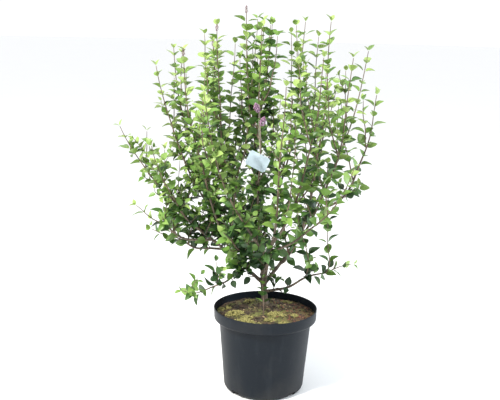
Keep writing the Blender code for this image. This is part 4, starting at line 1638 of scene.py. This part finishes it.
@dataclass
class Crown:
    """All the wood, twigs, leaves and flower heads."""

    skeleton: Skeleton = field(default_factory=Skeleton)
    shape: LeafShape = field(default_factory=LeafShape)
    wood: WoodSizes = WoodSizes()
    twig: TwigRule = TwigRule()
    leaf: LeafRule = LeafRule()
    light: LightRule = LightRule()
    margin: float = 0.004  # by which the crown may pass the solids' box
    near: float = 0.16  # boughs further away than this aren't tested
    # Length without leaves at a shoot's root
    bare: dict[Order, float] = field(
        default_factory=lambda: {Order.STEM: 0.012, Order.SIDE: 0.020, Order.TWIG: 0.010}
    )
    close_limbs: tuple[str, ...] = ("leader", "leader_front", "left_inner", "right_inner")
    close_shoots: int = 3
    close_part: Pair = (0.05, 0.50)  # share of the stem where they leave
    close_lengths: Pair = (0.60, 0.92)
    basal_foot: Point = (-0.005, -0.045, 0.208)
    basal_tip: Point = (-0.010, -0.012, 0.312)
    basal_ways: tuple[Pair, ...] = ((90, 84), (100, 70))  # azimuth and rise at foot and tip
    basal_bare: float = 0.045
    basal_inner: float = 0.3
    bud_limbs: tuple[str, ...] = ("leader", "left_front", "left_inner", "back_left")
    bud_head: Head = Head(0.018, 0.0042, 30)
    faded_limb: str = "leader_front"
    faded_places: tuple[Pair, ...] = ((0.755, -0.24), (0.725, 0.20))  # height, way aside
    faded_way: Pair = (-0.8, 0.75)  # ahead and up
    faded_stalk: float = 0.018
    stalk_points: int = 3
    faded_head: Head = Head(0.034, 0.0075, 60)
    seed: int = 88
    limb_seeds: int = 100
    basal_seed: int = 5
    head_seed: int = 9

    def __post_init__(self) -> None:
        """Grows the skeleton and opens a pool for each kind of piece."""
        self.grown = self.skeleton.grow()
        self.top = self.skeleton.string_top(self.grown)
        self.timber = Pool()
        self.twigs = Pool()
        self.leaves = {tint: Pool() for tint in Tint}
        self.buds = Pool()
        self.florets = Pool()
        self.boughs = [growth.bough for growth in self.grown.values()]
        low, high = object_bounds()
        self.low, self.high = np.array(low) - self.margin, np.array(high) + self.margin
        self.count = 0

    def build(self) -> None:
        """Makes and dresses everything."""
        foliage = [f"{limb.name}_foliage" for limb in LIMBS]
        wood = ["trunk"] + [f"{limb.name}_bough" for limb in LIMBS]
        self.make_trunk()
        for index, growth in enumerate(self.grown.values()):
            self.make_limb(growth, index)
        self.make_basal()
        self.make_heads()
        bark = Bark("bark_wood", (0.040, 0.029, 0.021), (0.185, 0.145, 0.105), 0.0011)
        young = Bark("bark_twigs", (0.070, 0.042, 0.030), (0.190, 0.140, 0.095), 0.0004)
        self.timber.build("trunk_and_boughs", bark.make(), "bark", wood)
        self.twigs.build("twigs", young.make(), "bark", foliage)
        for tint, pool in self.leaves.items():
            piece = f"leaves_{tint.name.lower()}"
            pool.build(piece, LeafSkin(tint).make(), "leaf", foliage + ["basal_shoot"])
        buds = Petal("buds", (0.170, 0.095, 0.115), (0.300, 0.200, 0.205))
        florets = Petal("florets", (0.420, 0.250, 0.400), (0.240, 0.100, 0.200))
        self.buds.build("flower_buds", buds.make(), "leaf", [])
        self.florets.build("faded_florets", florets.make(), "leaf", [])
        LOG.info("leaves: %d", self.count)

    def make_trunk(self) -> None:
        """The trunk with its flare, running a little way into the leader."""
        wood = self.wood
        leader = self.grown["leader"].bough
        reach = np.linalg.norm(leader - leader[0], axis=1)
        near, far = wood.overlap
        above = leader[(reach > near) & (reach < far)]
        path = np.concatenate([self.skeleton.trunk() - [0, 0, wood.sunk], above])
        height = path[:, 2] - path[0, 2]
        flare = np.exp(-((height / wood.flare_height) ** wood.flare_power))
        radii = wood.trunk + wood.flare * flare
        over = np.clip((height - wood.fork_start) / wood.fork_length, 0.0, 1.0)
        radii = radii * (1 - over) + wood.fork * over
        self.timber.add(*tube(path, radii, wood.trunk_sides, wood.trunk_relief))

    def make_limb(self, growth: Growth, index: int) -> None:
        """A limb's wood, its shoots, their twigs and their leaves.

        Args:
            growth: What the limb grew.
            index: Its number.
        """
        rng = Random(self.seed * self.limb_seeds + index)
        limb = growth.limb
        wood = self.wood
        end = min(self.skeleton.stem_radius, limb.radius * wood.bough_end)
        self.make_bough(growth, index, end)
        inner = self.light.innerness(limb)
        chance = self.fullness(limb)
        stem, *sides = growth.shoots
        radii = (end, wood.stem_tip)
        shoots = [Shoot(stem, radii, Order.STEM, self.bare[Order.STEM], inner, chance)]
        for path in sides:
            bare = self.bare[Order.SIDE]
            shoots.append(Shoot(path, wood.side, Order.SIDE, bare, inner, chance))
        if limb.name in self.close_limbs:
            shoots += self.close_up(growth, inner, rng)
        for shoot in shoots:
            if shoot.order is not Order.STEM:
                radii = shoot.taper()[::2]
                self.twigs.add(*tube(shoot.path[::2], radii, wood.shoot_sides, wood.twig_relief))
            self.dress(shoot, rng)
        self.sprout(growth, rng)

    def make_bough(self, growth: Growth, index: int, end: float) -> None:
        """A bough and the stem that grows on from it.

        Args:
            growth: What the limb grew.
            index: Its number.
            end: The radius where the bough ends.
        """
        wood = self.wood
        path = np.concatenate([growth.bough, growth.shoots[0][1:]])
        t = np.linspace(0.0, 1.0, len(growth.bough))
        bough_radii = end + (growth.limb.radius - end) * (1 - t) ** wood.bough_power
        run = np.linspace(0.0, 1.0, len(growth.shoots[0]))[1:]
        stem_radii = wood.stem_tip + (end - wood.stem_tip) * (1 - run) ** wood.stem_power
        radii = np.concatenate([bough_radii, stem_radii])
        distance = np.linalg.norm(path - path[0], axis=1)
        radii = radii * (1 + wood.collar * np.exp(-((distance / wood.collar_length) ** 2)))
        turns = [k * wood.wave_turn + index for k in range(len(path))]
        uneven = radii * np.array([1 + wood.wave * math.sin(turn) for turn in turns])
        stop = len(growth.bough) + wood.bark_on
        start = stop - wood.bark_over
        self.timber.add(*tube(path[:stop], uneven[:stop], wood.bough_sides, wood.bough_relief))
        self.twigs.add(*tube(path[start:], radii[start:], wood.stem_sides, wood.twig_relief))

    def close_up(self, growth: Growth, inner: float, rng: Random) -> list[Shoot]:
        """More upright side shoots by the same rule, where the middle of the crown is close.

        Args:
            growth: What the limb grew, which gets their paths.
            inner: How shaded the limb's foliage is.
            rng: The seeded numbers.

        Returns:
            The shoots for which there was room.
        """
        stem = growth.shoots[0]
        others = [g for g in self.grown.values() if g is not growth]
        made = []
        for _ in range(self.close_shoots):
            share = rng.uniform(*self.close_part)
            room = stem[-1][2] - stem[int(share * self.skeleton.steps)][2]
            length = room * rng.uniform(*self.close_lengths)
            turn = rng.uniform(0, 360)
            path = self.skeleton.side_shoot(stem, others, self.top, share, length, turn, rng)
            if path is not None:
                growth.shoots.append(path)
                bare = self.bare[Order.SIDE]
                made.append(Shoot(path, self.wood.close, Order.SIDE, bare, inner))
        return made

    def fullness(self, limb: Limb) -> float:
        """Chance of finer twigs on a limb: the crown is open on its right side.

        Args:
            limb: The limb.

        Returns:
            The chance.
        """
        rule = self.twig
        right = limb.reach * math.cos(math.radians(limb.azimuth))
        share = min(1.0, max(0.0, (right + rule.open_start) / rule.open_length))
        return rule.chance + (rule.open_chance - rule.chance) * share

    def sprout(self, growth: Growth, rng: Random) -> None:
        """Short leafy twigs on the bare bough, most of them low in the middle of the crown.

        Args:
            growth: What the limb grew.
            rng: The seeded numbers.
        """
        rule = self.twig
        bough = growth.bough
        step = length_of(bough) / self.skeleton.steps
        fullness = self.fullness(growth.limb)
        bare = 1.0 - (fullness - rule.open_chance) / (rule.chance - rule.open_chance)
        for place in range(rule.first_place, self.skeleton.steps):
            low = bough[place][2] < rule.low_zone
            spacing = rule.low_spacing if low else rule.high_spacing
            if rng.random() < step / (spacing * (1.0 + rule.open_spacing * bare)):
                for _ in range(rule.low_tries if low else 1):
                    angle = rng.uniform(0, 2 * math.pi)
                    if self.grow_twig(bough, place, angle, rng, rule.bough_inner):
                        break

    def dress(self, shoot: Shoot, rng: Random) -> None:
        """Pairs of leaves along a shoot, with finer twigs in some of their axils.

        Args:
            shoot: The shoot.
            rng: The seeded numbers.
        """
        path = shoot.path
        sides, ups, forward = frames_along(path)
        total = length_of(path)
        step = self.leaf.twig_step if shoot.order is Order.TWIG else self.leaf.pair_step
        pairs = max(1, round((total - shoot.bare) / step))
        turn = rng.uniform(0, math.pi)
        steps = len(path) - 1
        first, fall = self.twig.axil
        for k in range(pairs + 1):
            share = (shoot.bare + (total - shoot.bare) * k / pairs) / total
            place = min(int(share * steps), steps)
            last = k == pairs
            for half in (0.0, math.pi):
                angle = turn + half + rng.uniform(-self.leaf.turn_stray, self.leaf.turn_stray)
                out = math.cos(angle) * sides[place] + math.sin(angle) * ups[place]
                self.place_leaf(shoot, path[place], forward[place], out, share, last, rng)
                low = min(1.0, max(0.0, (self.twig.top - path[place][2]) / self.twig.fade))
                chance = shoot.chance * (first - fall * share) * low if not last else 0.0
                if rng.random() < chance:
                    self.grow_twig(path, place, angle, rng, shoot.inner)
            turn += math.pi / 2

    def grow_twig(self, path: Array, place: int, angle: float, rng: Random, inner: float) -> bool:
        """A short twig from a shoot, with its own leaves, where there is room for one.

        Args:
            path: The path that it grows from.
            place: Number of the point where it leaves.
            angle: The side on which it leaves, around the path.
            rng: The seeded numbers.
            inner: How shaded it is.

        Returns:
            Whether it was made.
        """
        rule = self.twig
        sides, ups, forward = frames_along(path)
        out = math.cos(angle) * sides[place] + math.sin(angle) * ups[place]
        length = rng.uniform(*rule.lengths) * (rule.grade[0] + rule.grade[1] * inner)
        start = path[place]
        end = start + out * length * rule.out + np.array([0, 0, length * rule.up])
        t = np.linspace(0, 1, rule.points)[:, None]
        bend = start + unit(forward[place] + out) * length * rule.leave
        curve = (1 - t) ** 2 * start + 2 * t * (1 - t) * bend + t**2 * end
        low, high = self.low + rule.margin, self.high - rule.margin
        if not ((curve > low) & (curve < high)).all():
            return False
        outer = curve[rule.root_points :]
        if self.skeleton.near_label(outer, self.top) or end[2] < rule.lowest:
            return False
        if self.bough_distance(curve[rule.fork_points :]) < rule.clearance:
            return False
        shoot = Shoot(curve, self.wood.twig, Order.TWIG, self.bare[Order.TWIG], inner)
        self.twigs.add(*tube(curve, shoot.taper(), self.wood.twig_sides))
        self.dress(shoot, rng)
        return True

    def bough_distance(self, points: Array) -> float:
        """Least distance of any point to the nearest bough."""
        near = [b for b in self.boughs if np.abs(b - points[0]).sum(1).min() < self.near]
        return min((float(distance_to(points, b).min()) for b in near), default=1.0)

    def place_leaf(
        self,
        shoot: Shoot,
        root: Array,
        forward: Array,
        out: Array,
        share: float,
        last: bool,
        rng: Random,
    ) -> None:
        """One leaf, unless it would leave the crown's box or touch a bough or the label.

        Args:
            shoot: The shoot that it grows on.
            root: Where its stalk leaves the shoot.
            forward: The shoot's direction there.
            out: The direction in which it stands out.
            share: Share of the shoot where it leaves.
            last: Whether it is one of the last pair.
            rng: The seeded numbers.
        """
        rule = self.leaf
        size = rule.length * (rule.shrink[0] - rule.shrink[1] * share) * rng.uniform(*rule.spread)
        size *= 1.0 + rule.inner_growth * shoot.inner
        if shoot.order is Order.TWIG:
            size *= rule.twig_size
        pitch = math.radians(rng.uniform(*rule.pitch))
        if last:
            size *= rule.last_size
            pitch = math.radians(rng.uniform(*rule.last_pitch))
        droop = [0, 0, rng.uniform(*rule.droop)]
        along = unit(forward * math.cos(pitch) + out * math.sin(pitch) + droop)
        face = forward * math.sin(pitch) - out * math.cos(pitch)
        face = unit(face - along * face.dot(along))
        roll = rng.uniform(-rule.roll, rule.roll)
        face = face * math.cos(roll) + np.cross(along, face) * math.sin(roll)
        points = self.shape.points(root, along, face, size, rng)
        if (points < self.low).any() or (points > self.high).any():
            return
        blade = points[rule.tested : len(self.shape.lines)]
        if self.skeleton.near_label(blade, self.top) or self.hides_label(blade, rng):
            return
        reach = np.hypot(blade[:, 0], blade[:, 1]).min()
        if blade[:, 2].min() < rule.pot_height and reach < rule.pot_reach:
            return
        if shoot.order is not Order.STEM and self.bough_distance(blade) < rule.clearance:
            return
        tint = self.light.choose(shoot, share, last, root, rng)
        self.leaves[tint].add(points, self.shape.faces())
        self.count += 1

    def hides_label(self, points: Array, rng: Random) -> bool:
        """Whether a leaf would stand close in front of the label; a few may.

        Args:
            points: Points of the leaf.
            rng: The seeded numbers.

        Returns:
            True where it is to be left out.
        """
        rule = self.leaf
        away = points - (self.top - np.array([0, 0, self.skeleton.string_length]))
        ahead = away[:, 1] < -rule.label_ahead
        across, down = rule.label_slope
        aside = np.hypot(away[:, 0] + away[:, 1] * across, away[:, 2] + away[:, 1] * down)
        hidden = bool((ahead & (aside < rule.label_radius)).any())
        return hidden and rng.random() < rule.label_share

    def make_basal(self) -> None:
        """The thin pale shoot that stands in front of the trunk, with small leaves."""
        rng = Random(self.seed + self.basal_seed)
        leave, arrive = (direction(*way) for way in self.basal_ways)
        foot, tip = np.array(self.basal_foot), np.array(self.basal_tip)
        path = self.skeleton.bent(foot, leave, tip, arrive)
        radii = self.wood.basal
        shoot = Shoot(path, radii, Order.TWIG, self.basal_bare, self.basal_inner)
        self.twigs.add(*tube(path, shoot.taper(), self.wood.stem_sides))
        self.dress(shoot, rng)

    def make_heads(self) -> None:
        """Bud heads on a few tall stems, and two faded heads above the label."""
        rng = Random(self.seed + self.head_seed)
        for name in self.bud_limbs:
            stem = self.grown[name].shoots[0]
            self.bud_head.add(self.buds, stem[-2], unit(stem[-1] - stem[-3]), self.high, rng)
        stem = self.grown[self.faded_limb].shoots[0]
        for height, aside in self.faded_places:
            foot = stem[int(np.abs(stem[:, 2] - height).argmin())]
            way = unit(np.array([aside, *self.faded_way]))
            start = foot + way * self.faded_stalk
            stalk = np.linspace(foot, start, self.stalk_points)
            radii = np.full(self.stalk_points, self.wood.head_stalk)
            self.twigs.add(*tube(stalk, radii, self.wood.twig_sides))
            self.faded_head.add(self.florets, start, way, self.high, rng)


@dataclass
class Label:
    """The blank card and its looped string."""

    skeleton: Skeleton
    top: Array
    roll: float = 24.0  # degrees
    yaw: float = -12.0  # degrees
    hole: float = 0.014  # above the card's middle
    thinner: float = 0.7  # share of the solid's thickness
    corner: float = 0.003
    corner_steps: int = 5
    sag: float = 0.0022  # of its middle
    loop: float = 0.0016  # half the distance between the string's two strands
    strand: float = 0.0005
    strand_points: int = 18
    strand_sides: int = 6

    def build(self) -> None:
        """Makes and dresses the card and the string."""
        centre = Vector(self.top) - Vector((0, 0, self.skeleton.string_length))
        yaw = Matrix.Rotation(math.radians(self.yaw), 4, "Z")
        turn = yaw @ Matrix.Rotation(math.radians(self.roll), 4, "Y")
        self.card(Matrix.Translation(centre) @ turn)
        self.string(np.array(centre + turn @ Vector((0, 0, self.hole))))

    def card(self, place: Matrix) -> None:
        """The card, a little bent.

        Args:
            place: Where it hangs.
        """
        width, thick, height = self.skeleton.label_size
        size = Matrix.Diagonal((width, thick * self.thinner, height, 1.0))
        bm = bmesh.new()
        bmesh.ops.create_cube(bm, size=1.0, matrix=size)
        upright = [e for e in bm.edges if abs(e.verts[0].co.y - e.verts[1].co.y) > thick / 3]
        bmesh.ops.bevel(
            bm, geom=upright, offset=self.corner, segments=self.corner_steps, affect="EDGES"
        )
        bmesh.ops.recalc_face_normals(bm, faces=bm.faces)
        for vert in bm.verts:
            vert.co.y += self.sag * math.cos(vert.co.x / width * math.pi)
        bmesh.ops.transform(bm, verts=bm.verts, matrix=place)
        mesh = mesh_of("label_card", bm)
        mesh.materials.append(Card().make())
        declare(linked("label_card", mesh), ["label"])

    def string(self, hole: Array) -> None:
        """The string's two strands.

        Args:
            hole: Where they end on the card.
        """
        strings = Pool()
        t = np.linspace(0.0, 1.0, self.strand_points)[:, None]
        radii = np.full(self.strand_points, self.strand)
        for aside in (-self.loop, self.loop):
            bow = np.array([aside, 0.0, 0.0]) * np.sin(math.pi * t)
            path = hole * (1 - t) + self.top * t + bow
            strings.add(*tube(path, radii, self.strand_sides))
        cord = Crumb("string_fibre", (0.30, 0.27, 0.22), (0.62, 0.58, 0.50))
        strings.build("label_string", cord.make(), "label_plastic", [])


@dataclass(frozen=True)
class Lamp:
    """One square light that looks at the shrub."""

    name: str
    place: Point
    size: float
    power: float
    tone: Colour

    def add(self, target: Point) -> None:
        """Makes the light.

        Args:
            target: The point that it looks at.
        """
        lamp = bpy.data.lights.new(self.name, "AREA")
        lamp.energy = self.power
        lamp.size = self.size
        lamp.color = self.tone
        item = linked(self.name, lamp)
        item.location = self.place
        aim = Vector(target) - Vector(self.place)
        item.rotation_euler = aim.to_track_quat("-Z", "Y").to_euler()


@dataclass
class Studio:
    """The floor, the lights and the camera at the photograph's angle."""

    place: Point = (-0.0485, -2.30, 1.013)  # of the camera
    tilt: float = 78.0  # degrees
    roll: float = 1.35  # degrees
    lens: float = 63.86  # in millimetres, as the sensor's width
    sensor: float = 36.0
    floor_radius: float = 30.0
    floor_sides: int = 64
    floor_drop: float = 0.0005
    floor_tones: tuple[Colour, Colour] = ((0.91, 0.91, 0.91), (0.93, 0.93, 0.93))
    floor_cloud: Grain = Grain(2.0, 2.0)
    floor_rough: float = 0.9
    sky: Colour = (0.97, 0.985, 1.0)
    sky_strength: float = 1.08
    target: Point = (0.0, 0.0, 0.55)
    lamps: tuple[Lamp, ...] = (
        Lamp("key", (-1.5, -1.7, 3.0), 0.45, 170.0, (1.0, 0.97, 0.91)),
        Lamp("rim", (2.2, -0.2, 1.1), 0.7, 34.0, (0.80, 0.90, 1.0)),
    )

    def build(self) -> None:
        """Makes the stage."""
        self.floor()
        self.sky_light()
        for lamp in self.lamps:
            lamp.add(self.target)
        camera = linked("camera", bpy.data.cameras.new("camera"))
        camera.data.lens = self.lens
        camera.data.sensor_width = self.sensor
        tilt = Matrix.Rotation(math.radians(self.tilt), 4, "X")
        turn = tilt @ Matrix.Rotation(math.radians(self.roll), 4, "Z")
        camera.matrix_world = Matrix.Translation(self.place) @ turn
        bpy.context.scene.camera = camera

    def floor(self) -> None:
        """A wide pale floor."""
        shader = Shader("studio_floor")
        colour = shader.mix(shader.noise(self.floor_cloud), *self.floor_tones)
        bm = bmesh.new()
        bmesh.ops.create_circle(
            bm, cap_ends=True, radius=self.floor_radius, segments=self.floor_sides
        )
        mesh = mesh_of("studio_floor", bm)
        mesh.materials.append(shader.finish(Base_Color=colour, Roughness=self.floor_rough))
        floor = linked("studio_floor", mesh)
        floor.location.z = -self.floor_drop
        floor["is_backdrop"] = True

    def sky_light(self) -> None:
        """A bright, faintly blue sky, with its colours shown as they are."""
        world = bpy.data.worlds.new("studio_world")
        bpy.context.scene.world = world
        world.use_nodes = True
        background = world.node_tree.nodes["Background"]
        background.inputs["Color"].default_value = (*self.sky, 1.0)
        background.inputs["Strength"].default_value = self.sky_strength
        bpy.context.scene.view_settings.view_transform = "Standard"


def main() -> None:
    """Builds every class in order."""
    logging.basicConfig(level=logging.INFO, format="%(name)s %(message)s")
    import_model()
    Studio().build()
    Pot().build()
    Compost().build()
    crown = Crown()
    crown.build()
    Label(crown.skeleton, crown.top).build()


if __name__ == "__main__":
    main()
